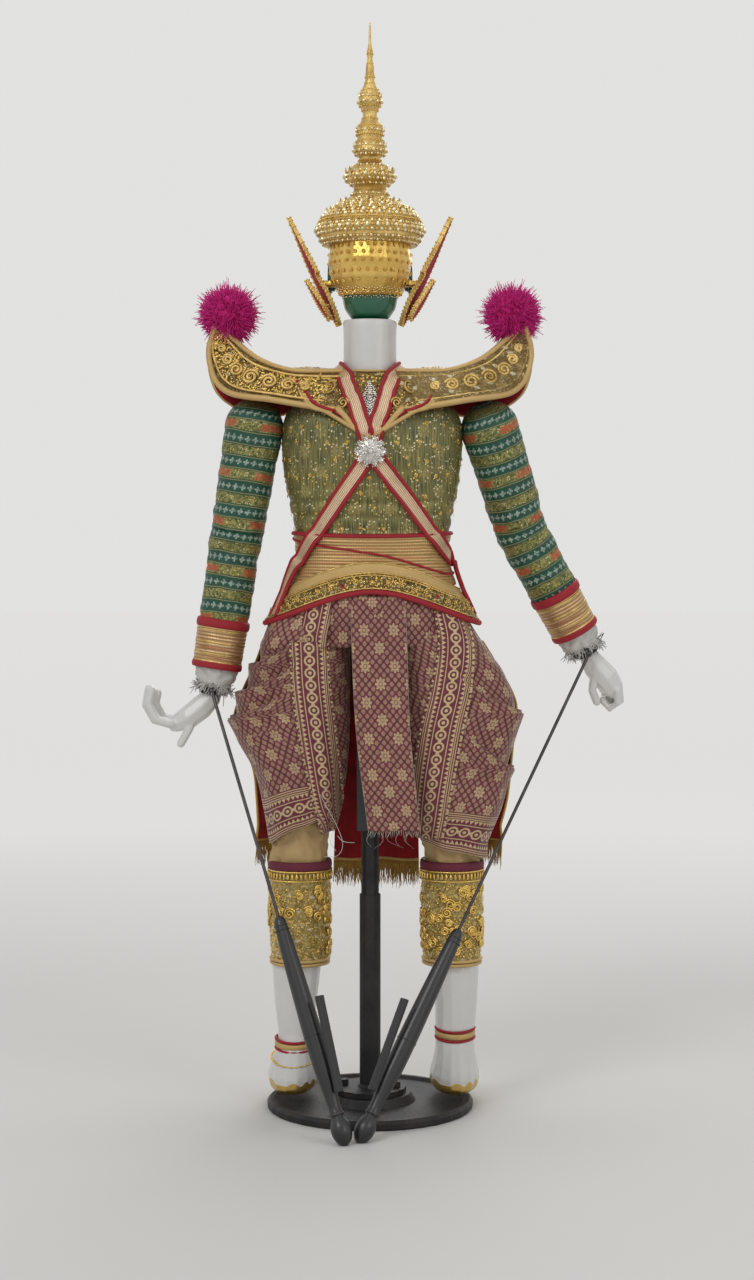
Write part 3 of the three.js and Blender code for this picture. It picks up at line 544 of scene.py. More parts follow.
def makeLattice():
    # Diamond trellis: a flower in each diamond, small leaves round it. Wide and Tall are a diamond's size, in metres.
    given, out = newGroup("trellis", {"Vector": None, "Wide": 0.03, "Tall": 0.034}, ["Line", "Flower", "Leaf"])
    parts = splitUp(given["Vector"])
    u, v = parts[0] / given["Wide"], parts[1] / given["Tall"]
    a, b = fraction(u + v) - 0.5, fraction(u - v) - 0.5
    farther = larger(abs(a), abs(b))
    x, y = a + b, a - b
    reach = root(x * x + y * y)
    beyond = reach - (abs(cosine(arcTangent(y, x) * 4.0)) * 0.2 + 0.2)
    ring = ramp(abs(reach - 0.12), 0.035, 0.015)
    waves = abs(sine(a * (fullTurn * 2))) * abs(sine(b * (fullTurn * 2)))
    clear = ramp(beyond, 0.03, 0.07) * ramp(farther, 0.485, 0.45)
    setInputs(out, {"Line": ramp(farther, 0.455, 0.48), "Flower": ramp(beyond, 0.01, -0.02) * (ring * -0.8 + 1.0),
                    "Leaf": ramp(waves, 0.26, 0.5) * clear})
    return out.id_data


def makeBorder():
    # A woven border: lines, teeth, a row of rosettes, teeth and lines. Across runs from 0 at its edge, in metres.
    given, out = newGroup("border", {"Along": 0.0, "Across": 0.0}, ["Gold", "Inside"])
    middle = given["Across"] - 0.020
    away = abs(middle)
    lines = ramp(sine(given["Across"] * (fullTurn / 0.0021)), -0.1, 0.4) * (away > 0.0135)
    teeth = 0.0128 - away < calc("PINGPONG", given["Along"], 0.0022) * 1.7
    inTeeth = (away < 0.0128) * (away > 0.0082)
    step = 0.0115
    x = (fraction(given["Along"] / step) - 0.5) * step
    reach = root(x * x + middle * middle)
    ring = ramp(abs(reach - 0.0042), 0.0011, 0.0006)
    small = ramp(abs(abs(x) - step / 2) + away, 0.0022, 0.0016)
    rule = ramp(abs(away - 0.0074), 0.0006, 0.0003)
    row = larger(larger(ring, ramp(reach, 0.0019, 0.0013)), larger(small, rule)) * (away < 0.0082)
    inside = away < 0.020
    setInputs(out, {"Gold": larger(larger(lines, teeth * inTeeth), row) * inside, "Inside": inside})
    return out.id_data


weaveGroup = makeWeave()
patinaGroup = makePatina()
sparkleGroup = makeSparkle()
scrollGroup = makeScrolls()
latticeGroup = makeLattice()
borderGroup = makeBorder()


# finishes

def paintedFinish(name, color, shade, rough, coat, dust=0.25):
    # Gloss paint over carved wood, with faint brush marks and grime in patches.
    material, coords = newMaterial(name, **{"Coat Weight": coat, "Coat Roughness": 0.12})
    marks = patinaOn(coords, 38.0)
    grime = (shade[0] * 0.6, shade[1] * 0.55, shade[2] * 0.45)
    tone = blend(marks["Dust"] * dust, blend(marks["Slow"], color, shade), grime)
    return setLook(material, tone, marks["Fine"] * 0.22 + rough, marks["Fine"] + marks["Slow"] * 2.0, 0.25, 0.0006)


def metalFinish(name, color, deep, rough, scale, dents, metallic=1.0):
    # Gilding or worn metal: tone changes, darker hollows, fine dents.
    material, coords = newMaterial(name, Metallic=metallic)
    marks = patinaOn(coords, scale)
    hollow = (deep[0] * 0.6, deep[1] * 0.55, deep[2] * 0.5)
    tone = blend(marks["Dust"] * 0.35, blend(ramp(marks["Slow"], 0.35, 0.7), color, deep), hollow)
    return setLook(material, tone, marks["Fine"] * 0.25 + rough, marks["Fine"] + marks["Slow"], 0.4, dents)


def velvetFinish(name, color, deep):
    sheen = (*[min(1, c * 1.6 + 0.1) for c in color], 1)
    material, coords = newMaterial(name, **{"Sheen Weight": 0.6, "Sheen Roughness": 0.35, "Sheen Tint": sheen})
    nap = patinaOn(coords, 60.0)
    tone = blend(ramp(nap["Slow"], 0.35, 0.65), color, deep)
    return setLook(material, tone, nap["Fine"] * 0.15 + 0.72, nap["Fine"], 0.5, 0.0006)


def threadFinish(name, color, deep, metallic, rough, pitch=0.0012):
    # Cord, fringe, braid and plain woven cloth.
    material, coords = newMaterial(name, Metallic=metallic)
    weave = placeGroup(weaveGroup, Vector=coords["UV"], Pitch=pitch)["Height"]
    marks = patinaOn(coords, 55.0)
    # Partly painted shade: the colour darkens in the dips of the weave relief; the other half is tone that varies at
    # random.
    tone = blend(weave * 0.5 + marks["Slow"] * 0.5, deep, color)
    return setLook(material, tone, marks["Fine"] * 0.2 + rough, weave, 0.6, 0.0004)


def sequinClothFinish(name, base, deep, bright, scale, turns, silver=0.0):
    # Stiff cloth covered with couched metal cord in scrolls, and sequins between; the gaps between sequins carry
    # painted shade and the sequins carry painted glints.
    material, coords = newMaterial(name)
    curls = placeGroup(scrollGroup, Vector=coords["UV"], Scale=scale, Turns=turns)
    shine = placeGroup(sparkleGroup, Vector=coords["UV"], Scale=520.0, Share=0.34)
    ridge, eye, glint = curls["Ridge"], curls["Eye"], shine["Glint"]
    tone = blend(patinaOn(coords, 45.0)["Slow"], base, deep)
    # Painted shade: the gaps between sequins are darkened towards a third of the deep tone.
    tone = blend(shine["ShadedGap"] * 0.6, tone, [c * 0.3 for c in deep])
    tone = blend(ridge * 0.62, tone, bright)
    tone = blend(glint * 0.8, tone, blend(shine["Cell"], bright, (0.95, 0.9, 0.72 + 0.2 * silver)))
    tone = blend(eye, tone, (0.95, 0.87, 0.6))
    return setLook(material, tone, shine["Cell"] * 0.3 + 0.25, glint * 0.35 + ridge + eye * 0.8, 0.8, 0.0011,
                   metal=larger(ridge, glint) * 0.5 + 0.35)


def jacketFinish():
    # Gold thread runs down a dark green ground, thinner on the shoulders and fuller towards the waist.
    ground, thread, bright, glitter = (0.025, 0.05, 0.026), (0.37, 0.30, 0.085), (0.72, 0.56, 0.2), (0.92, 0.82, 0.5)
    material, coords = newMaterial("jacketLame")
    place = coords["UV"]
    streaks = noiseOf(stretched(place, 1500, 45), 1.0, 2)
    bands = noiseOf(stretched(place, 300, 16), 1.0)
    fuller = ramp(splitUp(coords["Object"])[2], 0.675, 0.60)
    share = ramp(streaks, 0.36, 0.62) * (fuller * 0.45 + 0.45)
    share = calc("MULTIPLY", share, bands * 0.9 + 0.5, clamp=True)
    petals = placeGroup(latticeGroup, Vector=place, Wide=0.032, Tall=0.037)["Flower"]
    petals *= patinaOn(coords, 26.0)["Slow"] * 0.8 + 0.2
    glint = placeGroup(sparkleGroup, Vector=place, Scale=460.0, Share=0.2)["Glint"]
    tone = blend(petals * 0.34, blend(share, ground, thread), bright)
    return setLook(material, blend(glint * 0.85, tone, glitter), streaks * 0.3 + 0.3, streaks + petals * 1.4,
                   0.5, 0.0005, metal=larger(share, glint) * 0.45 + 0.1)


def sleeveFinish():
    # Rows across the arm: white flowers on green, gold lace, white flowers, then red and gold dashes.
    green, deep, flower, red = (0.012, 0.105, 0.062), (0.004, 0.036, 0.022), (0.62, 0.72, 0.62), (0.52, 0.10, 0.05)
    lace, laceGap, laceGlint, ruleGold = (0.42, 0.34, 0.10), (0.08, 0.12, 0.04), (0.9, 0.8, 0.45), (0.5, 0.42, 0.16)
    repeat, spacing = 0.046, 0.0072
    material, coords = newMaterial("sleeveBrocade")
    parts = splitUp(coords["UV"])
    across, wobble = parts[0], (noiseOf(coords["UV"], 26.0, 2) - 0.5) * 0.005
    along = (parts[1] + wobble) / repeat
    row = fraction(along)

    def between(low, high):
        return (row > low) * (row < high)

    marks = patinaOn(coords, 42.0)
    shine = placeGroup(sparkleGroup, Vector=coords["UV"], Scale=560.0, Share=0.3)
    cell = shine["Cell"]
    inLace = larger(between(0.28, 0.47), between(0.77, 0.97))
    laceTone = blend(shine["Glint"] * 0.8, blend(cell, lace, laceGap), laceGlint)
    tone = blend(inLace * 0.85, blend(marks["Slow"], green, deep), laceTone)
    dashes = between(0.80, 0.94) * (calc("PINGPONG", across + 0.012, 0.026) < 0.0135)
    tone = blend(dashes * (cell * 0.5 + 0.45), tone, red)
    flowers = 0.0
    for centre in (0.14, 0.62):
        dx, dy = (fraction(across / spacing) - 0.5) * spacing, (row - centre) * repeat
        edge = abs(cosine(arcTangent(dy, dx) * 2.0)) * 0.0017 + 0.0014
        flowers = larger(flowers, ramp(edge - root(dx * dx + dy * dy), -0.0002, 0.0004))
    tone = blend(flowers * ramp(marks["Fine"], 0.3, 0.62) * 0.7, tone, flower)
    rule = ramp(abs(sine(along * (fullTurn * 2.0))), 0.16, 0.05)
    return setLook(material, blend(rule * 0.6, tone, ruleGold), cell * 0.25 + 0.42, inLace * cell + flowers * 0.8,
                   0.6, 0.0008, metal=inLace * 0.5)


def brocadeFinish(name, hemAt=None, sideAt=None):
    # Maroon silk with a trellis of pale gold. Borders lie along the hem and, where asked, along one side.
    ground, dull, line = (0.135, 0.012, 0.030), (0.18, 0.026, 0.048), (0.06, 0.012, 0.02)
    gold, pale = (0.60, 0.43, 0.21), (0.74, 0.60, 0.35)
    material, coords = newMaterial(name, **{"Sheen Weight": 0.15})
    place, parts = coords["UV"], splitUp(coords["UV"])
    marks = patinaOn(coords, 36.0)
    trellis = placeGroup(latticeGroup, Vector=place, Wide=0.027, Tall=0.033)
    stitched = noiseOf(stretched(place, 220, 1300), 1.0, 1)
    share = larger(trellis["Flower"], trellis["Leaf"] * 0.52)
    share = calc("MULTIPLY", share, stitched * 0.8 + 0.4, clamp=True)
    share = calc("MULTIPLY", share, marks["Slow"] * 0.7 + 0.6, clamp=True)
    borders = []
    if hemAt is not None:
        borders.append((parts[0], hemAt - parts[1]))
    if sideAt is not None:
        borders.append((parts[1], parts[0] - sideAt))
    for along, across in borders:
        border = placeGroup(borderGroup, Along=along, Across=across)
        share = blend(border["Inside"], share, border["Gold"])
    tone = blend(trellis["Line"] * 0.5, blend(marks["Slow"], ground, dull), line)
    tone = blend(share * 0.88, tone, blend(marks["Fine"], gold, pale))
    weave = placeGroup(weaveGroup, Vector=place, Pitch=0.0009)["Height"]
    return setLook(material, tone, share * -0.2 + 0.62, weave * 0.35 + share, 0.5, 0.0005, metal=share * 0.35)


def ribbonFinish(name, colors, pitch, axis):
    # Braid of fine metal cords lying side by side; axis says which way of the map crosses them.
    material, coords = newMaterial(name)
    parts, marks = splitUp(coords["UV"]), patinaOn(coords, 70.0)
    cords = sine(parts[axis] * (fullTurn / pitch)) * 0.5 + 0.5
    twist = sine(parts[1 - axis] * (fullTurn / (pitch * 0.8)))
    wide = noiseOf(stretched(coords["UV"], *((18, 260) if axis else (260, 18))), 1.0)
    # Painted shade and highlight: the grooves between cords take the first, darker colour and the cord crowns take the
    # second, lighter one.
    tone = blend(ramp(wide, 0.52, 0.68), blend(cords, colors[0], colors[1]), colors[2])
    tone = blend(marks["Dust"] * 0.4, tone, [c * 0.5 for c in colors[0]])
    return setLook(material, tone, marks["Fine"] * 0.25 + 0.28, twist * 0.15 + cords, 0.7, 0.0006,
                   metal=cords * 0.4 + 0.3)


finish = {
    "iron": metalFinish("blackIron", (0.022, 0.022, 0.025), (0.05, 0.045, 0.042), 0.42, 30.0, 0.0012, 0.6),
    "steel": metalFinish("rodSteel", (0.06, 0.06, 0.065), (0.11, 0.10, 0.095), 0.32, 60.0, 0.0004, 0.9),
    "lacquer": paintedFinish("blackLacquer", (0.008, 0.008, 0.009), (0.024, 0.023, 0.025), 0.3, 0.25, 0.3),
    "wood": paintedFinish("bareWood", (0.42, 0.27, 0.14), (0.30, 0.18, 0.09), 0.5, 0.0, 0.3),
    "white": paintedFinish("whitePaint", (0.80, 0.80, 0.78), (0.70, 0.69, 0.66), 0.2, 0.35, 0.12),
    "leaf": metalFinish("goldLeaf", (0.83, 0.58, 0.17), (0.62, 0.40, 0.10), 0.2, 34.0, 0.0010),
    "leafDull": metalFinish("goldPaste", (0.72, 0.52, 0.20), (0.42, 0.27, 0.08), 0.26, 90.0, 0.0012),
    "gem": metalFinish("setGlass", (0.92, 0.84, 0.60), (0.62, 0.50, 0.26), 0.05, 160.0, 0.0003, 0.75),
    "silver": metalFinish("silverGlass", (0.86, 0.84, 0.80), (0.50, 0.46, 0.42), 0.06, 160.0, 0.0003, 0.8),
    "red": velvetFinish("redVelvet", (0.40, 0.006, 0.016), (0.22, 0.003, 0.008)),
    "braid": threadFinish("redBraid", (0.50, 0.016, 0.030), (0.26, 0.006, 0.012), 0.0, 0.5),
    "piping": threadFinish("goldPiping", (0.70, 0.49, 0.20), (0.50, 0.32, 0.11), 0.35, 0.34, 0.0016),
    "fringe": threadFinish("goldFringe", (0.66, 0.42, 0.10), (0.38, 0.21, 0.04), 0.4, 0.35),
    "linen": threadFinish("frayedLinen", (0.80, 0.79, 0.76), (0.58, 0.56, 0.52), 0.0, 0.8),
    "cream": threadFinish("creamCloth", (0.66, 0.47, 0.22), (0.48, 0.31, 0.13), 0.0, 0.62),
    "binding": threadFinish("blackBinding", (0.018, 0.018, 0.022), (0.006, 0.006, 0.008), 0.0, 0.8),
    "wool": threadFinish("magentaWool", (0.85, 0.035, 0.34), (0.60, 0.010, 0.20), 0.0, 0.75),
    "jacket": jacketFinish(),
    "sleeve": sleeveFinish(),
    "wingCloth": sequinClothFinish("wingCloth", (0.44, 0.30, 0.10), (0.27, 0.17, 0.045), (0.78, 0.60, 0.26), 62.0,
                                   260.0),
    "beltCloth": sequinClothFinish("beltCloth", (0.38, 0.26, 0.08), (0.20, 0.12, 0.03), (0.80, 0.62, 0.28), 85.0,
                                   330.0),
    "sockCloth": sequinClothFinish("sockCloth", (0.86, 0.63, 0.19), (0.70, 0.49, 0.14), (0.98, 0.82, 0.38), 70.0,
                                   300.0),
    "silverCloth": sequinClothFinish("silverCloth", (0.42, 0.37, 0.28), (0.22, 0.18, 0.12), (0.86, 0.80, 0.66),
                                     110.0, 420.0, 1.0),
    "brocade": brocadeFinish("brocadePlain"),
    "brocadeStrip": brocadeFinish("brocadeStrip", sideAt=-0.020),
    "waist": ribbonFinish("waistBraid", ((0.34, 0.19, 0.06), (0.62, 0.42, 0.18), (0.52, 0.22, 0.10)), 0.0030, 1),
    "cuff": ribbonFinish("cuffBraid", ((0.36, 0.19, 0.07), (0.72, 0.50, 0.26), (0.40, 0.15, 0.07)), 0.0032, 1),
    "strap": ribbonFinish("strapBraid", ((0.56, 0.31, 0.16), (0.92, 0.76, 0.54), (0.66, 0.40, 0.24)), 0.0017, 0),
}
print("finishes made")


# Trunk, dress and shoulder pieces

def tableAt(table, x):
    # Smooth values between a table's rows, by its first column.
    x = min(max(x, table[0][0]), table[-1][0])
    i = max(k for k in range(len(table) - 1) if table[k][0] <= x)

    def slope(k, column):
        low, high = table[max(k - 1, 0)], table[min(k + 1, len(table) - 1)]
        return (high[column] - low[column]) / (high[0] - low[0])

    a, b = table[i], table[i + 1]
    span = b[0] - a[0]
    t = (x - a[0]) / span
    made = []
    for column in range(1, len(a)):
        m, n = slope(i, column) * span, slope(i + 1, column) * span
        made.append((2 * t ** 3 - 3 * t ** 2 + 1) * a[column] + (t ** 3 - 2 * t ** 2 + t) * m
                    + (3 * t ** 2 - 2 * t ** 3) * b[column] + (t ** 3 - t ** 2) * n)
    return made


trunk = {
    "offset": 2, "square": 2.3,
    "rings": [[452, 88, 50], [480, 81, 48], [517, 70, 44], [551, 74, 44], [590, 81.5, 48.5], [636, 84, 49],
              [655, 77, 43.5], [666, 60, 37], [674, 38, 31]],
    "step": 2.3,
}


def trunkAt(angle, z, out):
    # A point on the dressed trunk, in metres; angle 0 is +X, a quarter turn is the front.
    width, depth = tableAt(trunk["rings"], z)
    c, s = cos(angle), sin(angle)
    power = 2 / trunk["square"]
    x = trunk["offset"] + (width + out) * copysign(abs(c) ** power, c)
    y = (depth + out) * copysign(abs(s) ** power, s)
    return at(x, y, z)


def backAngle(x, z):
    # The angle at which the trunk's back has this x, in mm.
    width = tableAt(trunk["rings"], z)[0]
    share = max(-1, min(1, (x - trunk["offset"]) / (width + 1)))
    c = copysign(abs(share) ** (trunk["square"] / 2), share)
    return -acos(c)


def around(count=96):
    # Angles once round, from the middle of the front.
    return [pi / 2 - fullTurn * k / count for k in range(count + 1)]


jacket = {"bottom": 490, "top": 674, "wrinkle": 1.3, "fold": 3.2}


def buildJacket():
    rows = []
    z = jacket["bottom"]
    while z <= jacket["top"]:
        row = []
        for angle in around():
            point = trunkAt(angle, z, 0)
            c, s = cos(angle), sin(angle)
            creases = noise.noise(Vector((c * 1.6, s * 1.2, z * 0.085 + c * 0.9)))
            slack = exp(-((z - 568) / 26) ** 2) + 0.25
            pull = -jacket["wrinkle"] * slack * (abs(creases) ** 0.7) * 1.6
            pull += 0.5 * noise.noise(point * 24)
            wander = 3.2 * noise.noise(Vector((angle * 1.1, z * 0.012, 3)))
            low = exp(-((z - 562) / 20) ** 2) * (0.4 + 0.6 * abs(s))
            pull -= jacket["fold"] * low * (max(0, sin(z * 0.5 + wander)) ** 1.5 - 0.5)
            row.append(trunkAt(angle, z, pull))
        rows.append(row)
        z += trunk["step"]
    for out, rise in ((-9, 1.0), (-16, 1.6)):
        rows.append([trunkAt(a, 674, out) + Vector((0, 0, rise * mm)) for a in around()])
    addPiece("jacketCloth", laid(rows, joinSides=True), "jacket", "trunk", ["jacket"], wall=0.0012)
    # Sewn sprigs of gold sequins
    random.seed(4)
    places, beads = [], []
    for level in range(7):
        z = 545 + level * 15.5
        for k in range(26):
            angle = (k + 0.5 * (level % 2)) / 26 * fullTurn + random.uniform(-0.03, 0.03)
            if random.random() < 0.25:
                continue
            spot = trunkAt(angle, z + random.uniform(-3, 3), 0.1)
            normal = trunkAt(angle, z, 4) - trunkAt(angle, z, 0)
            turn = turnTo(normal)
            for _ in range(random.randint(3, 7)):
                away = at(random.gauss(0, 2.6), random.gauss(0, 3.4), 0)
                beads.append(Matrix.Translation(spot + turn.to_3x3() @ away)
                             @ turn @ Matrix.Diagonal((0.95 * mm, 0.95 * mm, 0.5 * mm, 1)))
            places.append(standOn(spot, normal, 2.3, random.random() * 3, 0.5))
    addScatter("jacketSequins", "leaf", "trunk", "gold_leaf", (rosetteShape, places), (sequinShape, beads))


def bandRows(levelAt, profile, flare=None):
    # A band round the trunk: profile is (share of height, how far out in mm).
    rows = []
    for share, out in profile:
        levels = [(angle, levelAt(angle, share)) for angle in around()]
        rows.append([trunkAt(angle, z, out + (flare(angle, z) if flare else 0)) for angle, z in levels])
    return rows


def pipingRound(bm, zAt, out, radius, flare=None, flat=1.0, slotIndex=0):
    points = [trunkAt(a, zAt(a), out + (flare(a, zAt(a)) if flare else 0)) for a in around()[:-1]]
    addTube(bm, points, radius, 7, flat, closed=True, slotIndex=slotIndex)


waist = {"top": 538.5, "bottom": 492, "bands": 5}


def waistTopAt(angle):
    return waist["top"] + 1.5 * cos(2 * angle)


def waistLevel(angle, share):
    return waist["bottom"] + (waistTopAt(angle) - waist["bottom"]) * share


def buildWaistband():
    profile = [(k / 30, 1.4 + 0.75 * abs(sin(k / 30 * pi * waist["bands"])) ** 0.6) for k in range(31)]
    bm = laid(bandRows(waistLevel, profile), joinSides=True)
    pipingRound(bm, waistTopAt, 1.6, 1.9, flat=1.2, slotIndex=1)
    pipingRound(bm, lambda a: 519 - 16 * cos(a) + 2 * sin(3 * a), 2.5, 1.1, slotIndex=1)
    addPiece("waistBraids", bm, "waist braid", "trunk", ["waistband"], wall=0.0012)


belt = {"backLow": 487, "sideLow": 446, "topMiddle": 513, "topSide": 487}


def hemAt(angle):
    x = abs(trunkAt(angle, 470, 4)[0] / mm - trunk["offset"])
    share = min(1, x / 104)
    return belt["backLow"] - (belt["backLow"] - belt["sideLow"]) * share ** 1.8


def beltTopAt(angle):
    x = abs(trunkAt(angle, 500, 4)[0] / mm - trunk["offset"])
    return belt["topMiddle"] - (belt["topMiddle"] - belt["topSide"]) * min(1, x / 80) ** 2


def beltLevel(angle, share):
    low = hemAt(angle)
    return low + (beltTopAt(angle) - low) * share


def beltFlare(angle, z):
    return max(0, 486 - z) * (0.10 + 0.22 * abs(cos(angle)) ** 3)


def buildBelt():
    lower = [(0, 3.2), (0.04, 4.4), (0.12, 4.9), (0.25, 5.1), (0.4, 5.0), (0.55, 4.7), (0.62, 4.4)]
    upper = [(0.62, 4.4), (0.66, 3.7), (0.75, 3.9), (0.86, 3.9), (0.95, 3.6), (1, 2.8)]
    bm = bmesh.new()
    for which, profile in enumerate((lower, upper)):
        layRows(bm, bandRows(beltLevel, profile, beltFlare), joinSides=True, slotIndex=which)
    pipingRound(bm, lambda a: hemAt(a) - 0.6, 3.6, 2.7, beltFlare, slotIndex=2)
    for share, out, radius in ((0.64, 4.7, 0.9), (0.99, 3.0, 0.9), (0.1, 5.3, 0.8), (0.56, 5.2, 0.6)):
        pipingRound(bm, lambda a, s=share: beltLevel(a, s), out, radius, beltFlare, slotIndex=3)
    addPiece("beltCloth", bm, "beltCloth piping braid leafDull", "trunk", ["belt"], wall=0.0014)
    random.seed(8)
    flowers, sequins, pink = [], [], []
    for k in range(44):
        angle = k / 44 * fullTurn
        z = beltLevel(angle, 0.33 + 0.05 * sin(k * 2.4))
        spot = trunkAt(angle, z, 5.2 + beltFlare(angle, z))
        normal = trunkAt(angle, z, 9) - trunkAt(angle, z, 0)
        (pink if k % 7 == 3 else flowers).append(standOn(spot, normal, 3.0, k, 0.55))
    for _ in range(1500):
        angle = random.random() * fullTurn
        z = beltLevel(angle, random.uniform(0.1, 0.56))
        spot = trunkAt(angle, z, 5.0 + beltFlare(angle, z))
        normal = trunkAt(angle, z, 9) - trunkAt(angle, z, 0) + shake(2 * mm)
        sequins.append(standOn(spot, normal, random.uniform(0.6, 1.0), random.random() * 6, 0.6))
    for k in range(150):
        angle = k / 150 * fullTurn
        z = beltLevel(angle, 0.6 + 0.025 * sin(angle * 14))
        spot = trunkAt(angle, z, 5.0 + beltFlare(angle, z))
        flowers.append(standOn(spot, trunkAt(angle, z, 9) - trunkAt(angle, z, 0), 1.35, k, 0.7))
    addScatter("beltSequins", "leaf", "trunk", "gold_leaf", (rosetteShape, flowers), (sequinShape, sequins))
    addScatter("beltFlowers", "braid", "trunk", "red_velvet", (rosetteShape, pink))


strap = {
    "half": 6.2, "rail": 1.5,
    # height and x of each strap's middle, from the belt up to the neck
    "left": [[464, -80], [486, -75], [500, -70], [516, -62.5], [532, -54], [570, -29], [614, 0], [640, 7], [687, 22]],
    "right": [[464, 94], [486, 90], [507, 80], [520, 70.5], [535, 60], [570, 35], [614, 2], [640, -7], [687, -24]],
}


def strapOut(z):
    if z < 514:
        return 6.2 + max(0, 486 - z) * 0.2
    return 3.6 if z < 540 else 1.5


def strapMiddle(table, lift, front):
    middle = []
    z = table[0][0]
    while z <= 687:
        x = tableAt(table, z)[0]
        if z > (608 if front else 630):
            middle.append(onCollar(x, z, 1.4 + lift, front))
        else:
            point = trunkAt(backAngle(x, z), z, strapOut(z) + lift * (1 if z > 590 else 0))
            middle.append(Vector((point[0], -point[1], point[2])) if front else point)
        z += 4
    return middle


def buildStraps():
    for name, lift in (("left", 0.0), ("right", 1.3)):
        back = strapMiddle(strap[name], lift, False)
        front = strapMiddle(strap[name], lift, True)
        side = copysign(1, back[-1][0])
        over = [at(side * 31, y, 692.5) for y in (-9, 0, 9)]
        path = smoothCurve(back + over + front[::-1], 2)
        rows = []
        for i, point in enumerate(path):
            ahead = (path[min(i + 1, len(path) - 1)] - path[max(i - 1, 0)]).normalized()
            outward = Vector((point[0] * 0.6, point[1], 0.02 if point[2] > 0.64 else 0)).normalized()
            across = ahead.cross(outward).normalized()
            outward = across.cross(ahead).normalized()
            rows.append([point + across * u * strap["half"] * mm + outward * (0.7 - 0.5 * u ** 2) * mm
                         for u in (k / 4 - 1 for k in range(9))])
        bm = laid(rows)
        for edge in (0, -1):
            addTube(bm, [row[edge] for row in rows], strap["rail"], 7, slotIndex=1)
        addPiece("strapBraid_" + name, bm, "strap braid piping", "trunk", ["strap_" + name], wall=0.001,
                 offset=0)


def buildNeck():
    profile = [(25.6, 668), (25.4, 676), (24.9, 690), (24.6, 705), (24.6, 720), (24.9, 731), (25.0, 735.5), (24.4, 737),
               (23, 737.2), (18, 737.2)]
    bm = bmesh.new()
    turnProfile(bm, profile, 48)
    addPiece("neckSkin", bm, "white", "trunk", ["neck"], wall=0.003)


def buildHips():
    # The top of the trousers, gathered under the belt.
    rows = []
    for z in range(492, 434, -3):
        inward = 1.5 - 3.1 * min(1, max(0, 488 - z) / 10) + max(0, 462 - z) * 0.22
        rows.append([trunkAt(a, z, sin(a * 23 + sin(z * 0.05)) - inward) for a in around(144)])
    addPiece("hipCloth", laid(rows, joinSides=True), "brocade", "trunk", wall=0.001)
    # The upper end of the left leg's border
    rows = []
    for z in range(482, 433, -3):
        x, half = tableAt(((434, -56.5, 16.5), (482, -47, 14)), z)
        rows.append([trunkAt(backAngle(x + (k / 6 - 1) * half, z), z, 3.4 - max(0, 446 - z) * 0.15) for k in range(13)])
    addPiece("hipBorder", laid(rows), "brocadeStrip", "trunk", wall=0.001, offset=0)


buildJacket()
buildHips()
buildWaistband()
buildBelt()
buildNeck()
print("trunk dressed")


# Head and crown

def softCopy(name, voxel, passes):
    # A CAD piece's form, remeshed fine and rounded, in a new bmesh.
    source = bmesh.new()
    source.from_mesh(cadNodes[name].data)
    bmesh.ops.remove_doubles(source, verts=source.verts[:], dist=1e-6)
    mesh = bpy.data.meshes.new("form")
    source.to_mesh(mesh)
    source.free()
    form = bpy.data.objects.new("form", mesh)
    scene.collection.objects.link(form)
    addModifier(form, "REMESH", mode="VOXEL", voxel_size=voxel)
    seen = form.evaluated_get(bpy.context.evaluated_depsgraph_get())
    bm = bmesh.new()
    bm.from_mesh(seen.to_mesh())
    seen.to_mesh_clear()
    bpy.data.objects.remove(form)
    bpy.data.meshes.remove(mesh)
    bm.loops.layers.uv.new("cloth")
    for _ in range(passes):
        bmesh.ops.smooth_vert(bm, verts=bm.verts[:], factor=0.5, use_axis_x=True, use_axis_y=True, use_axis_z=True)
    bmesh.ops.recalc_face_normals(bm, faces=bm.faces[:])
    return bm


face = {
    "eyeX": 14.0, "eyeZ": 789, "browZ": 798.5, "mouthZ": 764.5,
    "skin": (0.010, 0.150, 0.070), "shade": (0.006, 0.085, 0.042), "white": (0.80, 0.78, 0.70),
    "pupil": (0.02, 0.012, 0.010), "lid": (0.01, 0.01, 0.01), "brow": (0.02, 0.018, 0.015), "gold": (0.7, 0.48, 0.16),
    "lips": (0.42, 0.02, 0.02), "mouth": (0.05, 0.01, 0.01),
}


def faceFinish():
    material, coords = newMaterial("greenPaint", **{"Coat Weight": 0.5, "Coat Roughness": 0.15})
    marks, parts = patinaOn(coords, 38.0), splitUp(coords["Object"])
    x, z = abs(parts[0]) * 1000.0, parts[2] * 1000.0
    front = ramp(parts[1], 0.012, 0.018)

    def oval(cx, cz, wide, tall):
        u, v = (x - cx) / wide, (z - cz) / tall
        return ramp(root(u * u + v * v), 1.12, 1) * front

    eyeX, eyeZ, mouthZ = face["eyeX"], face["eyeZ"], face["mouthZ"]
    arched = z + calc("POWER", (x - eyeX) / 9.0, 2.0) * 2.4
    lid, brow = arched - (eyeZ + 3.6), arched - (face["browZ"] + 2.4)
    inEye = (abs(x - eyeX) < 9.0) * front
    tone = blend(marks["Slow"], face["skin"], face["shade"])
    tone = blend(oval(eyeX, eyeZ, 7.6, 3.1), tone, face["white"])
    tone = blend(oval(eyeX - 0.4, eyeZ + 0.2, 3.0, 3.0), tone, face["pupil"])
    for line, blur, thick, ink in ((lid, 1.0, 0.7, "lid"), (brow, 1.4, 1.1, "brow"), (brow - 2.0, 0.8, 0.5, "gold")):
        tone = blend(ramp(abs(line), blur, thick) * inEye, tone, face[ink])
    tone = blend(oval(0.0, mouthZ, 9.0, 2.7), tone, face["lips"])
    tone = blend(oval(0.0, mouthZ, 8.8, 0.45), tone, face["mouth"])
    return setLook(material, tone, marks["Fine"] * 0.2 + 0.22, marks["Fine"], 0.2, 0.0004)


finish["green"] = faceFinish()


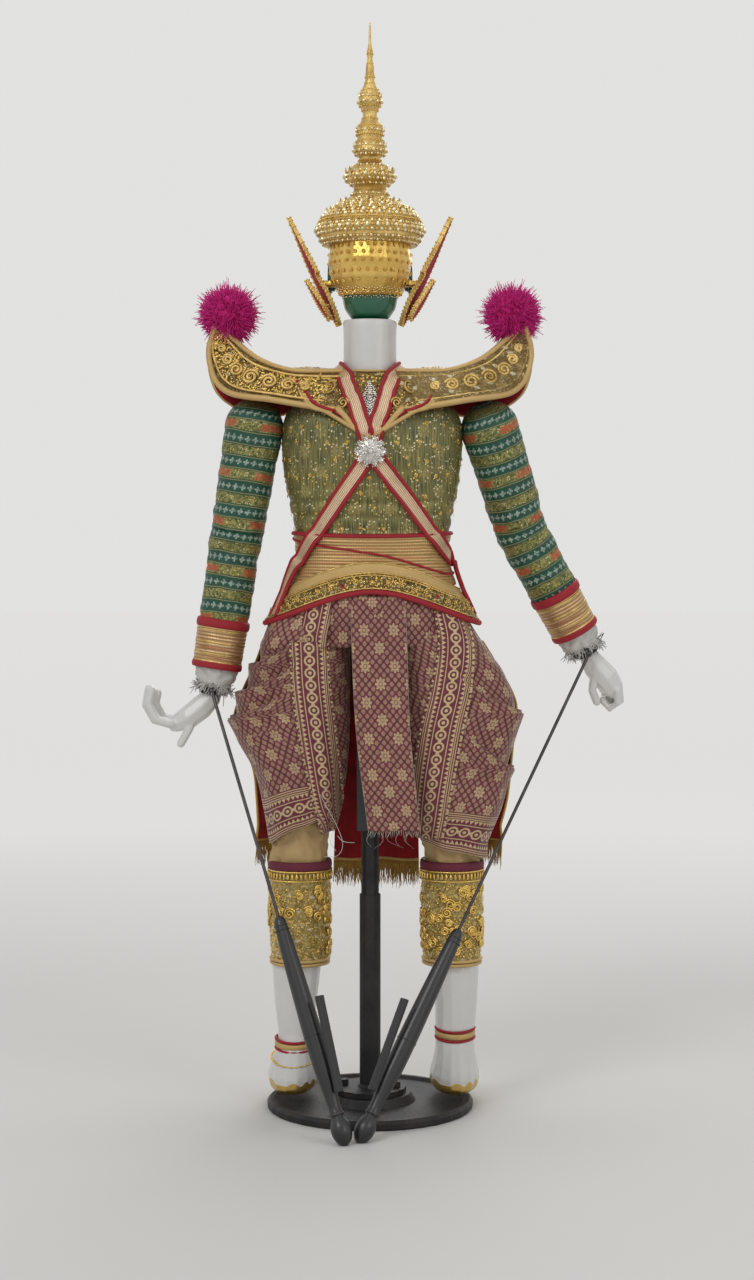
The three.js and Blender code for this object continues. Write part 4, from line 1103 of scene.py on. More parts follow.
def swell(bm, centre, radius, push, squeeze=(1, 1, 1)):
    # Moves the surface near a point along push, most at the point itself. All in mm.
    for vert in bm.verts:
        away = [(vert.co[i] / mm - centre[i]) / (radius * squeeze[i]) for i in range(3)]
        reach = sum(a * a for a in away)
        if reach < 5:
            vert.co += Vector(push) * mm * exp(-reach * 1.4)


relief = {
    # point, radius, push and squeeze: eye hollow, eyeball, brow, cheek and nostril; bridge, tip, lips, mouth and chin
    "pairs": [((14, 40, 789), 9, (0, -3.0), (1, 2, 0.65)), ((14, 40, 789), 5.5, (0, 2.6), (1.2, 2, 0.7)),
              ((13, 42, 799), 7, (0, 1.5), (1.5, 2, 0.5)), ((18, 36, 774), 9, (0.6, 1.2), (1, 2, 1)),
              ((4.2, 48, 774.5), 3.0, (0.8, 1.2), (1, 2, 0.8))],
    "middle": [((0, 44, 786), 3.2, (0, 3.0, 0), (1, 3, 3.2)), ((0, 46, 778), 3.6, (0, 2.2, 0), (1, 2, 1.4)),
               ((0, 42, 766.8), 5.2, (0, 2.6, 0), (1.6, 2, 0.42)), ((0, 42, 762.2), 4.6, (0, 2.8, 0), (1.5, 2, 0.45)),
               ((0, 42, 764.5), 7.0, (0, -1.6, 0), (1.2, 2, 0.14)), ((0, 36, 750), 9, (0, 2.0, -0.5), (1.2, 2, 0.9))],
}


def buildHead():
    bm = softCopy("head", 0.0013, 5)
    for side in (-1, 1):
        for (x, y, z), radius, (aside, push), squeeze in relief["pairs"]:
            swell(bm, (side * x, y, z), radius, (side * aside, push, 0), squeeze)
    for point, radius, push, squeeze in relief["middle"]:
        swell(bm, point, radius, push, squeeze)
    addPiece("headFace", bm, "green", "head", ["head"])
    # Ears, just in front of the gold flares
    bm = bmesh.new()
    for side in (-1, 1):
        rim = [(side * (35.5 + 2.4 * sin(k / 14 * pi)), 20 + 8.5 * cos(k / 14 * fullTurn * 0.86 + 0.5),
                779 + 13 * sin(k / 14 * fullTurn * 0.86 + 0.5)) for k in range(15)]
        addTube(bm, [p * mm for p in smoothCurve(rim, 3)], 1.9, 8)
        part = newPart()
        bmesh.ops.create_uvsphere(part, u_segments=14, v_segments=10, radius=mm, matrix=Matrix.Translation(
            at(side * 34, 20, 778)) @ Matrix.Diagonal((3.4, 8, 12, 1)))
        mergeInto(bm, part)
    addPiece("headEars", bm, "green", "head")


crown = {"y": 2, "skullZ": 792, "wide": 39.4, "deep": 46.2, "tall": 45.2}


def bowlAt(turn, z, out=0.0):
    # A point and normal on the gilded bowl; turn 0 is the middle of the back.
    rise = max(-1, min(1, (z - crown["skullZ"]) / crown["tall"]))
    level = sqrt(1 - rise * rise)
    normal = Vector((level * sin(turn) / crown["wide"], -level * cos(turn) / crown["deep"],
                     rise / crown["tall"])).normalized()
    point = Vector((crown["wide"] * level * sin(turn), crown["y"] - crown["deep"] * level * cos(turn), z))
    return (point + normal * out) * mm, normal


def buildBowl():
    bm = softCopy("crown_bowl", 0.0011, 3)
    addPiece("crownBowl", bm, "leaf", "head", ["crown_bowl"])
    flowers, gems = [], []
    rows = [(752.5, 15, 2.4, 1), (761, 13, 3.3, 2), (771, 13, 2.0, 0), (780, 14, 2.2, 1), (789, 14, 1.9, 0),
            (797, 15, 2.1, 1), (804, 17, 2.2, 1)]
    for i, (z, count, size, kind) in enumerate(rows):
        for k in range(count):
            turn = ((k + 0.5 * (i % 2)) / (count - 0.5) - 0.5) * radians(172)
            point, normal = bowlAt(turn, z)
            flowers.append(standOn(point, normal, size, k, 0.7))
            if kind == 2:
                for step in range(8):
                    a = step / 8 * fullTurn
                    near, out = bowlAt(turn + 4.6 * cos(a) / 43, z + 4.6 * sin(a))
                    gems.append(standOn(near, out, 0.75))
    for k in range(96):
        turn = (k / 95 - 0.5) * radians(196)
        point, normal = bowlAt(turn, 748.6, 0.3)
        gems.append(standOn(point, normal, 1.0))
    for z in (808, 811):
        for k in range(110):
            point, normal = bowlAt(k / 110 * fullTurn, z, 0.4)
            gems.append(standOn(point, normal, 1.05))
    addScatter("bowlFlowers", "leaf", "head", "gold_leaf", (rosetteShape, flowers))
    addScatter("bowlBeads", "gem", "head", "gold_leaf", (beadShape, gems), smooth=True)
    # Front band of the crown over the brow, with a row of upright leaves
    bm = bmesh.new()
    points = []
    for k in range(61):
        turn = pi / 2 + k / 60 * pi
        point, normal = bowlAt(turn, 811 - 3 * sin(k / 60 * pi), 1.2)
        points.append(point)
    addTube(bm, points, 2.2, 8)
    for k in range(19):
        turn = pi / 2 + (k + 0.5) / 19 * pi
        point, normal = bowlAt(turn, 813, 2.0)
        addLeaf(bm, point, Vector((0, 0, 1)), normal, 9 + 5 * sin((k + 0.5) / 19 * pi), 3.2)
    addPiece("browBand", bm, "leafDull", "head")


def addLeaf(bm, foot, up, outward, tall, half):
    # A small pointed leaf that stands on a rim.
    part = newPart()
    side = up.cross(outward).normalized()
    flank = [(-0.55, 0), (-1, 0.3), (-0.75, 0.6), (-0.25, 0.85)]
    outline = flank + [(0, 1)] + [(-u, v) for u, v in flank[::-1]]
    points = [foot + (side * (u * half) + up * (v * tall) + outward * (0.8 * v * v)) * mm for u, v in outline]
    plateOf(part, points, outward * 0.8 * mm, half * 0.3 * mm, half * 0.22 * mm)
    mergeInto(bm, part)


dome = {
    "profile": [(38, 806), (42.5, 806), (44.5, 809), (47.5, 812.5), (47.2, 815), (49.8, 818), (50.2, 821.5), (49, 824),
                (46.5, 826), (47.2, 828), (45.6, 831), (42.5, 834), (38.2, 838), (32.5, 842), (26, 845.5), (19.5, 848.5),
                (17, 849.2), (0, 849.2)],
    "rings": [(43.6, 807.5, 1.3), (46.6, 811, 1.5), (48.6, 816.6, 1.9), (50.4, 820.2, 2.1), (49.4, 823.6, 1.6),
              (47.2, 826.4, 1.0), (47.4, 828.6, 1.0), (45.0, 832.0, 1.9), (42.0, 835.0, 2.2), (38.4, 838.2, 2.0),
              (34.2, 841.2, 2.2), (29.4, 844.0, 1.9), (24.2, 846.8, 2.1), (19.6, 849.0, 1.7)],
    "leaves": [(48.0, 822.5, 34, 5.0, 2.6), (40, 836, 26, 5, 2.4), (28, 844.5, 18, 5, 2.2)],
}
spire = {
    "profile": [(16.4, 849.35), (17.2, 852), (17.4, 854), (15.2, 857), (14.2, 859), (15.6, 861), (17.5, 862.5),
                (20.6, 865), (23.4, 868.5), (23.0, 871), (20.4, 875), (19.0, 877), (14.0, 881), (11.2, 883.5),
                (9.6, 886), (10.2, 888), (13.4, 890), (15.0, 892), (15.2, 896), (14.2, 899.5), (12.2, 903), (11.6, 906),
                (12.6, 909), (12.7, 913), (11.0, 917), (8.4, 921), (6.8, 925), (6.5, 928), (7.6, 931), (9.4, 934),
                (10.8, 938), (10.7, 942), (9.4, 946), (7.4, 951), (5.4, 955), (4.2, 959), (4.5, 962), (4.0, 966),
                (3.7, 972), (2.6, 976), (2.3, 979), (3.0, 983), (2.7, 986), (1.7, 990), (1.3, 994), (1.1, 1002),
                (0.9, 1008), (0.5, 1011.6), (0, 1011.8)],
    "rings": [(17.4, 853.5, 1.4), (14.6, 858.6, 1.0), (18.2, 862.6, 1.3), (22.4, 866.4, 1.6), (23.6, 870.0, 1.9),
              (21.2, 874.0, 1.5), (16.0, 879.6, 1.4), (10.8, 885.0, 1.0), (13.8, 890.2, 1.3), (15.4, 893.6, 1.6),
              (14.6, 898.4, 1.5), (12.4, 903.0, 1.1), (12.8, 908.4, 1.2), (12.9, 912.4, 1.4), (11.0, 917.0, 1.2),
              (7.4, 923.4, 1.0), (7.6, 930.6, 1.0), (9.9, 934.6, 1.2), (11.2, 938.6, 1.5), (10.2, 944.0, 1.3),
              (7.8, 950.0, 1.1), (5.0, 956.0, 0.8), (4.6, 961.5, 0.9), (3.2, 974.0, 0.6), (3.1, 983.0, 0.7)],
    "leaves": [(22.0, 872.0, 15, 6.0, 2.6), (14.0, 897.0, 12, 5.0, 2.0), (12.2, 911.0, 11, 4.6, 1.8),
               (10.0, 943.0, 10, 4.4, 1.6)],
}


def buildTier(name, shape, node):
    place = Matrix.Translation((0, crown["y"] * mm, 0))
    bm = bmesh.new()
    turnProfile(bm, shape["profile"], 48, place)
    for radius, z, count, tall, half in shape["leaves"]:
        for k in range(count):
            a = k / count * fullTurn
            outward = outwardAt(a)
            foot = at(radius * cos(a), crown["y"] + radius * sin(a), z)
            addLeaf(bm, foot, Vector((0, 0, 1)), outward, tall, half)
    piece = addPiece(name, bm, "leafDull", "head", [node])
    addModifier(piece, "BEVEL", width=0.0002, segments=1, limit_method="ANGLE")
    random.seed(21)
    beads, gems = [], []
    for radius, z, size in shape["rings"]:
        count = max(8, int(fullTurn * radius / (size * 2.15)))
        for k in range(count):
            a = (k + random.uniform(-0.12, 0.12)) / count * fullTurn
            spot = at(radius * cos(a), crown["y"] + radius * sin(a), z + random.uniform(-0.3, 0.3))
            big = size > 1.2 and (k % 2 == 0)
            normal = (cos(a), sin(a), 0.5)
            (gems if big else beads).append(standOn(spot, normal, size * (1.06 if big else 0.86), a))
    addScatter(name + "Beads", "leaf", "head", "gold_leaf", (beadShape, beads), smooth=True)
    addScatter(name + "Gems", "gem", "head", "gold_leaf", (gemShape, gems))


flare = {
    "foot": (29, 10, 733), "tip": (74, 10, 832), "thick": 3.6, "turn": 0.24,
    "outline": [[0, -3], [14, -11], [34, -13], [50, -6], [56, -10], [78, -5], [111, 3], [84, 9], [58, 13], [30, 11],
                [8, 5]],
    "leafFoot": (34, 6, 742), "leafTip": (52, 3, 772),
    "leaf": [[0, -4], [12, -8], [24, -6], [42, 0], [26, 6], [12, 8], [0, 4]],
}


def addFlarePlate(bm, beads, side, foot, tip, outline, shift):
    foot = Vector((side * foot[0], foot[1], foot[2]))
    tip = Vector((side * tip[0], tip[1], tip[2]))
    along = (tip - foot).normalized()
    ahead = Vector((side * flare["turn"], 1, 0)).normalized()
    outward = along.cross(ahead).normalized() * -side
    edge = [foot + along * u + ahead * v + outward * shift for u, v in outline]
    curve = smoothCurve(edge, 5, closed=True)
    part = newPart()
    points = [(p - outward * flare["thick"] / 2) * mm for p in curve]
    for inner in plateOf(part, points, outward * flare["thick"] * mm, 2.0 * mm, -0.6 * mm, bothSides=True):
        inner.material_index = 1
    mergeInto(bm, part)
    run, last = 0.0, curve[-1]
    for point in curve:
        run += (point - last).length
        last = point
        if run >= 2.5:
            run = 0.0
            for way in (-1, 1):
                beads.append(standOn((point + outward * way * 1.6) * mm, outward * way, 1.25))


def buildFlares():
    for name, side in (("left", -1), ("right", 1)):
        bm = bmesh.new()
        beads = []
        addFlarePlate(bm, beads, side, flare["foot"], flare["tip"], flare["outline"], 0)
        addFlarePlate(bm, beads, side, flare["leafFoot"], flare["leafTip"], flare["leaf"], 4.5)
        for z, x in ((772, 37), (752, 33)):
            post = [at(side * (x + k * 3.4), 7, z) for k in range(4)]
            addTube(bm, post, 1.8, 8)
        addPiece("flareLeaf_" + name, bm, "leafDull red", "head",
                 ["ear_flare_" + name], smooth=False)
        addScatter("flareBeads_" + name, "leaf", "head", "gold_leaf", (beadShape, beads), smooth=True)


buildHead()
buildBowl()
buildTier("crownDome", dome, "crown_dome")
buildTier("crownSpire", spire, "crown_spire")
buildFlares()
print("head and crown made")


# Collar, shoulder wings, medallion and tufts

collar = {
    "neck": 27.2, "neckZ": 689, "swell": 5.0,
    # turn from the back in degrees: x, y and z of the lower edge
    "edge": [[0, 0, -52, 627], [18, 12, -52, 633], [40, 40, -49, 650], [56, 55, -44, 656], [70, 68, -30, 676],
             [80, 76, -16, 689], [90, 79, 0, 693]],
    "frontEdge": [[0, 0, 54, 604], [18, 18, 53, 609], [40, 46, 49, 630], [56, 60, 43, 648], [70, 70, 30, 674],
                  [80, 77, 16, 689], [90, 79, 0, 693]],
}


def collarPoint(turn, share, out=0.0):
    # turn is degrees from the middle of the back, 180 is the front.
    side = -1 if turn < 0 else 1
    size = abs(turn)
    table = collar["edge"] if size <= 90 else collar["frontEdge"]
    x, y, z = tableAt(table, size if size <= 90 else 180 - size)
    a = radians(size)
    inner = Vector((collar["neck"] * sin(a), -collar["neck"] * cos(a), collar["neckZ"]))
    outer = Vector((x, y, z))
    point = inner.lerp(outer, share)
    away = Vector((outer[0] - inner[0], outer[1] - inner[1], 0))
    away = (away.normalized() + Vector((0, 0, 0.9))).normalized()
    point += away * (collar["swell"] * sin(pi * share ** 0.8) + out)
    return at(point[0] * side, point[1], point[2])


collarTurns = [-180 + 2.5 * k for k in range(145)]


def onCollar(x, z, out, front=False):
    # The collar's point that has this x and z, seen from behind or from the front.
    best = None
    for j in range(0, 61):
        for k in range(0, 61):
            size = 88 * k / 60
            turn = (180 - size) if front else size
            point = collarPoint(turn, j / 60, out)
            miss = (point[0] / mm - abs(x)) ** 2 + (point[2] / mm - z) ** 2
            if best is None or miss < best[0]:
                best = (miss, point)
    point = best[1].copy()
    point[0] = copysign(point[0], x)
    return point


def spiralOn(centre, normal, size, turns, hand):
    # A curl of cord lying on a surface.
    turn = Vector(normal).to_track_quat("Z", "Y").to_matrix()
    made = []
    for k in range(turns * 12 + 1):
        a = k / 12 * fullTurn
        reach = size * (1 - k / (turns * 12)) ** 0.8 + 0.4
        made.append(centre + turn @ at(hand * reach * cos(a), reach * sin(a), 0))
    return made


def buildCollar():
    bm = laid([[collarPoint(turn, j / 18) for turn in collarTurns] for j in range(19)], joinSides=True)
    for share, out, radius, sides, which in ((1.0, 0.4, 2.0, 8, 1), (0.93, 0.9, 1.0, 6, 2), (0.02, 0.8, 1.3, 6, 1)):
        ring = [collarPoint(turn, share, out) for turn in collarTurns[:-1]]
        addTube(bm, ring, radius, sides, closed=True, slotIndex=which)
    for side in (-1, 1):
        for turn, share, size, hand in ((46, 0.55, 7.5, 1), (30, 0.72, 5.5, -1), (66, 0.5, 5.5, 1), (132, 0.5, 7.0, 1),
                                        (152, 0.62, 6.0, -1), (108, 0.45, 5.5, 1)):
            centre = collarPoint(side * turn, share, 1.2)
            normal = centre - Vector((0, 0, 0.640))
            addTube(bm, spiralOn(centre, normal, size, 2, hand * side), 0.55, 5, slotIndex=3)
    for side in (-1, 1):
        edge = ((76, 689), (67, 679), (59, 669), (51, 659), (42, 654), (31, 651))
        lap = smoothCurve([onCollar(side * x, z, 2.2) for x, z in edge], 4)
        addTube(bm, lap, 1.5, 6, slotIndex=2)
        addTube(bm, [p + at(side * 2.4, 0, -1.6) for p in lap], 1.3, 6, slotIndex=1)
        flap = smoothCurve([onCollar(side * x, z, 1.6) for x, z in ((30, 654), (22, 645), (14, 634), (7, 624))], 4)
        sizes = [3.4 - 1.8 * k / len(flap) for k in range(len(flap))]
        addTube(bm, flap, sizes, 8, 0.4, up=(0, -1, 0), slotIndex=1)
    addPiece("collarCloth", bm, "wingCloth piping braid leafDull", "trunk", ["collar"], wall=0.0016)
    random.seed(31)
    sequins = []
    for _ in range(1500):
        turn, share = random.uniform(-180, 180), random.uniform(0.08, 0.92)
        point = collarPoint(turn, share, 0.5)
        normal = collarPoint(turn, share, 3) - point + shake(mm)
        sequins.append(standOn(point, normal, random.uniform(0.7, 1.15), random.random() * 6, 0.6))
    addScatter("collarSequins", "leaf", "trunk", "gold_leaf", (sequinShape, sequins))


wing = {
    "upper": [(24, 689), (50, 688.5), (75, 690), (104, 701), (130, 722), (142, 732)],
    "lower": [(24, 652), (52, 655), (90, 661.5), (124, 667), (140, 677), (147, 692), (149, 710), (143, 731)],
    "depths": [[0, 45], [18, 45], [80, 40], [112, 31], [132, 20], [149, 9], [160, 6]],
    "along": 60, "drop": 13,
}


def resample(points, count):
    # The same curve with points a constant step apart.
    runs = [0.0]
    for a, b in zip(points, points[1:]):
        runs.append(runs[-1] + (b - a).length)
    made = []
    k = 0
    for i in range(count + 1):
        want = runs[-1] * i / count
        while k < len(runs) - 2 and runs[k + 1] < want:
            k += 1
        t = (want - runs[k]) / max(runs[k + 1] - runs[k], 1e-9)
        made.append(points[k].lerp(points[k + 1], t))
    return made


def wingRows(side, out=0.0):
    upper = resample(smoothCurve([(x, 0, z) for x, z in wing["upper"]], 10), wing["along"])
    lower = resample(smoothCurve([(x, 0, z) for x, z in wing["lower"]], 10), wing["along"])
    rows = []
    for u, low in zip(upper, lower):
        deepLow = tableAt(wing["depths"], min(low[0], 159))[0]
        deepUp = tableAt(wing["depths"], min(u[0], 159))[0] * 0.5
        share = max(0.0, min(1.0, (low[0] - 70) / 60))
        drop = wing["drop"] * sin(pi * min(1, share * 0.8)) * (1 if low[2] < 700 else 0.3)
        back = [Vector((low[0], -deepLow, low[2])), Vector((u[0], -deepUp, u[2]))]
        front = [Vector((u[0], deepUp, u[2])), Vector((low[0], deepLow, low[2] - drop))]
        row = []
        full, slopes, top = min(1, deepLow / 20), [k / 12 for k in range(13)], [k / 8 for k in range(1, 8)]
        for (start, end), shares, away, puff, part in ((back, slopes, (0, -1, 0.3), 3.0, full),
                                                       ((back[1], front[0]), top, (0, 0, 1), 1.6, 1),
                                                       (front, slopes, (0, 1, 0.3), 3.0, full)):
            row += [start.lerp(end, t) + Vector(away) * (puff * sin(pi * t) * part + out) for t in shares]
        rows.append([at(side * p[0], p[1], p[2]) for p in row])
    return rows


def buildWings():
    random.seed(17)
    for name, side in (("left", -1), ("right", 1)):
        rows = wingRows(side)
        bm = bmesh.new()
        layRows(bm, rows)
        outer = wingRows(side, 0.9)
        for column, radius, which in ((0, 2.9, 1), (12, 2.5, 1), (20, 2.5, 1), (32, 2.9, 1), (2, 0.8, 2), (10, 0.7, 2),
                                      (22, 0.7, 2), (30, 0.8, 2)):
            addTube(bm, [row[column] for row in outer], radius, 8, slotIndex=which)
        addTube(bm, outer[-1], 2.4, 8, slotIndex=1)
        addTube(bm, outer[-4][2:11], 0.7, 6, slotIndex=2)
        flow = [(14, 4.5, 1), (20, 6.5, -1), (27, 7.5, 1), (34, 7.5, -1), (40, 6.5, 1), (45, 5.0, -1), (50, 3.6, 1)]
        for column, ahead in ((6, -1), (26, 1)):
            for i, size, hand in flow:
                centre = outer[i][column]
                normal = pointOn(outer, column / (len(rows[0]) - 1), i / wing["along"])[1]
                if normal.dot(Vector((0, ahead, 0.4))) < 0:
                    normal = -normal
                curl = spiralOn(centre + normal * 0.5 * mm, normal, size, 2, hand * side)
                addTube(bm, curl, 0.5, 5, slotIndex=2)
        addPiece("wingCloth_" + name, bm, "wingCloth piping leafDull red", "trunk", ["wing_" + name],
                 wall=0.0022)
        addPiece("wingLining_" + name, laid(wingRows(side, -2.8)), "red", "trunk", wall=0.0008, offset=0)
        sequins = []
        for _ in range(1900):
            share = random.choice((random.uniform(0.06, 0.33), random.uniform(0.67, 0.94)))
            point, normal = pointOn(outer, share, random.uniform(0.02, 0.94))
            if normal.dot(Vector((0, -1 if share < 0.5 else 1, 0.4))) < 0:
                normal = -normal
            tilt = shake(0.35)
            sequins.append(standOn(point, normal + tilt, random.uniform(0.7, 1.15), random.random() * 6, 0.6))
        addScatter("wingSequins_" + name, "leaf", "trunk", "gold_leaf", (sequinShape, sequins))


tuft = {"x": 132, "z": 742, "radius": 25, "strands": 3600}


def buildTufts():
    random.seed(5)
    for name, side in (("left", -1), ("right", 1)):
        centre = at(side * tuft["x"], 0, tuft["z"])
        strands = []
        for k in range(tuft["strands"]):
            rise = 1 - 2 * (k + 0.5) / tuft["strands"]
            a = k * 2.39996
            level = sqrt(1 - rise * rise)
            ahead = Vector((level * cos(a), level * sin(a), rise))
            bend = drift(0.16)
            length = tuft["radius"] * random.uniform(0.88, 1.03)
            start = 0.3
            strands.append([centre + (ahead + bend * t * t) * length * (start + (1 - start) * t) * mm
                            for t in strandStops])
        bm = bmesh.new()
        addStrands(bm, strands, 0.95)
        part = newPart()
        bmesh.ops.create_icosphere(part, subdivisions=4, radius=20 * mm, matrix=Matrix.Translation(centre))
        for vert in part.verts:
            vert.co += (vert.co - centre) * 0.22 * noise.noise(vert.co * 420)
        mergeInto(bm, part)
        addPiece("woolTuft_" + name, bm, "wool", "trunk", ["pompom_" + name])


medallion = {
    "z": 614, "y": -54.0,
    "rings": [(0, 1, 2.5), (3.9, 7, 1.4), (6.5, 11, 1.25), (9.2, 14, 1.3), (11.6, 12, 1.7), (13.8, 20, 0.9)],
}


def buildMedallion():
    turn = Matrix.Translation((0.4 * mm, medallion["y"] * mm, medallion["z"] * mm)) @ Matrix.Rotation(pi / 2, 4, "X")
    bm = bmesh.new()
    turnProfile(bm, [(0, 2.2), (4, 2.2), (8, 1.4), (11, 0.4), (12, -0.8), (11.4, -2.4), (0, -2.4)], 24, turn)
    for k in range(10):
        a = k / 10 * fullTurn
        outward = Vector((cos(a), 0, sin(a)))
        addLeaf(bm, turn.translation + outward * 8.5 * mm, outward, Vector((0, -1, 0)), 6.5, 2.4)
    addPiece("medallionBack", bm, "silver", "trunk", ["medallion"])
    places = []
    for radius, count, size in medallion["rings"]:
        for k in range(count):
            a = (k + 0.5 * (radius > 10)) / count * fullTurn
            spot = turn @ Vector((radius * cos(a) * mm, radius * sin(a) * mm, (3.4 - radius * 0.18) * mm))
            places.append(standOn(spot, (0.3 * cos(a), -1, 0.3 * sin(a)), size, a))
    addScatter("medallionGems", "silver", "trunk", "gold_leaf", (gemShape, places))
    # The lozenge of glass between the straps, with small curls beside it
    places = []
    for j in range(-11, 12):
        for k in range(-6, 7):
            x, z = k * 1.9 + (0.95 if j % 2 else 0), 659 + j * 1.95
            if abs(x) / 10.5 + abs(z - 659) / 23 < 1:
                places.append(standOn(onCollar(x, z, 1.2), (x * 0.01, -1, 0.3), 1.05, j + k))
    addScatter("lozengeGems", "silver", "trunk", "gold_leaf", (gemShape, places))


# Hanging panels

panel = {
    "front": {"rows": [[196, 6, 40, 61], [216, 6, 41, 61], [300, 6, 39, 61], [456, 5, 34, 52], [486, 5, 30, 48]],
              "low": 226, "high": 486, "flat": (0.082, 0.262)},
    "tail": {"rows": [[262, 23, 23.5, -63], [269, 22, 23.5, -63], [360, 12, 24.5, -60], [456, 8, 25, -52],
                      [484, 7, 24, -48]], "low": 268, "high": 484, "flat": (0.049, 0.218)},
}


def panelRows(shape, waves, depth, step=4.0):
    rows = []
    z = shape["high"]
    side = 1 if shape["rows"][0][3] > 0 else -1
    while z >= shape["low"] - 0.01:
        x, half, y = tableAt(shape["rows"], z)
        fall = (shape["high"] - z) / (shape["high"] - shape["low"])
        row = []
        for k in range(29):
            t = k / 28 * 2 - 1
            sway = depth * fall * sin(t * waves + 0.8 + fall * 1.3) + 0.5 * noise.noise(Vector((t * 3, z * 0.03, 2.2)))
            curl = -1.6 * t * t * (0.4 + fall)
            row.append(at(x + t * half, y + side * (sway + curl), z + 0.8 * sin(t * 5 + 1) * fall))
        rows.append(row)
        z -= step
    return rows


def fringeAlong(points, length, spacing, spread, seed):
    # Twisted threads that hang from an edge.
    random.seed(seed)
    strands = []
    for a, b in zip(points, points[1:]):
        count = max(1, int((b - a).length / (spacing * mm)))
        for k in range(count):
            start = a.lerp(b, (k + random.random() * 0.4) / count)
            lean = drift(spread)
            size = length * random.uniform(0.85, 1.08) * mm
            strands.append([start + (downward + lean * t) * size * t for t in (0, 0.3, 0.65, 1.0)])
    return strands


def buildPanels():
    rows = panelRows(panel["front"], 3.2, 1.6)
    front = addPiece("frontPanel", laid(rows), "red", "trunk", ["front_panel"], wall=0.0014, offset=0)
    bm = bmesh.new()
    lift = Vector((0, 1.4 * mm, 0))
    for column in (1, 4, 24, 27):
        addTube(bm, [row[column] + lift for row in rows], (1.3 if column in (1, 27) else 0.8), 6)
    for line in (4, 9, 58, 62):
        addTube(bm, [p + lift for p in rows[line][1:28]], 1.0, 6)
    addTube(bm, rows[-1], 1.7, 6)
    addPiece("frontPanelPiping", bm, "piping", "trunk")
    places = []
    for line in range(8, len(rows) - 4, 5):
        for column in (2.5, 8, 14, 20, 25.5):
            spot = pointOn(rows, column / 28, line / (len(rows) - 1))[0] + lift * 0.8
            places.append(standOn(spot, (0, 1, 0), (2.2 if column in (2.5, 25.5) else 3.8), line, 0.5))
    addScatter("frontPanelFlowers", "leaf", "trunk", "gold_leaf", (rosetteShape, places))
    bm = bmesh.new()
    strands = fringeAlong(rows[-1], 24, 0.6, 0.07, 3) + fringeAlong(rows[-1], 23, 0.6, 0.09, 4)
    addStrands(bm, strands, 0.8)
    fringe = addPiece("frontPanelFringe", bm, "fringe", "trunk")

    rows = panelRows(panel["tail"], 2.4, 0.9, step=3.0)
    tail = addPiece("tailPanel", laid(rows), "brocade", "trunk", ["tail_panel"], wall=0.0013,
                    offset=0)
    bm = bmesh.new()
    for column in (0, 28):
        addTube(bm, [row[column] for row in rows], 0.35, 5)
    addStrands(bm, fringeAlong(rows[-1], 5, 0.9, 0.35, 12), 0.28)
    random.seed(61)
    loose = []
    for k in range(5):
        start = rows[-1][2 + k * 5]
        loose.append(smoothCurve([start, start + at(random.gauss(0, 4), -2, -8),
                                  start + at(random.gauss(0, 9), -3, -15)], 4))
    addStrands(bm, loose, 0.22)
    addPiece("tailPanelHem", bm, "linen", "trunk")


buildCollar()
buildStraps()
buildWings()
buildTufts()
buildMedallion()
buildPanels()
print("shoulders and panels made")


# Arms, cuffs, hands and rods

arms = {
    "left": {"shoulder": (-108, 0, 638), "elbow": (-126, 4, 530), "wrist": (-147, 0, 393), "rodTip": (-21, -144, 0),
             "rodAxis": (-0.2915, 0.2917, 0.911), "seed": 1},
    "right": {"shoulder": (112, 0, 636), "elbow": (143, 25, 541), "wrist": (206, 45, 428), "rodTip": (-10, -135, 0),
              "rodAxis": (0.4307, 0.3214, 0.8433), "seed": 2},
}
sleeve = {"ball": 27.4, "upper": 25.8, "elbow": 24.4, "lower": 22.8, "rib": 0.75, "ribStep": 11.5, "bunch": 2.2,
          "blend": 20, "cuffLength": 43, "cuffEnd": 22}


def limbRows(path, radii, sides, dent):
    # Rings along a limb, with dent(i, turn) moving the surface out, in mm.
    rows = ringsAlong([Vector(p) * mm for p in path], [r * mm for r in radii], sides, up=(0, 1, 0.05))
    for i, row in enumerate(rows):
        centre = Vector(path[i]) * mm
        for k, point in enumerate(row):
            away = (point - centre).normalized()
            row[k] = point + away * dent(i, fullTurn * (k % sides) / sides) * mm
    return rows


def ringBand(bm, centre, axis, radius, thick, flat, slotIndex=0, sides=40):
    axis = Vector(axis).normalized()
    side = axis.orthogonal().normalized()
    other = axis.cross(side)
    points = [(Vector(centre) + radius * (cos(a) * side + sin(a) * other)) * mm
              for a in (fullTurn * k / sides for k in range(sides))]
    addTube(bm, points, thick, 8, flat, up=axis, closed=True, slotIndex=slotIndex)


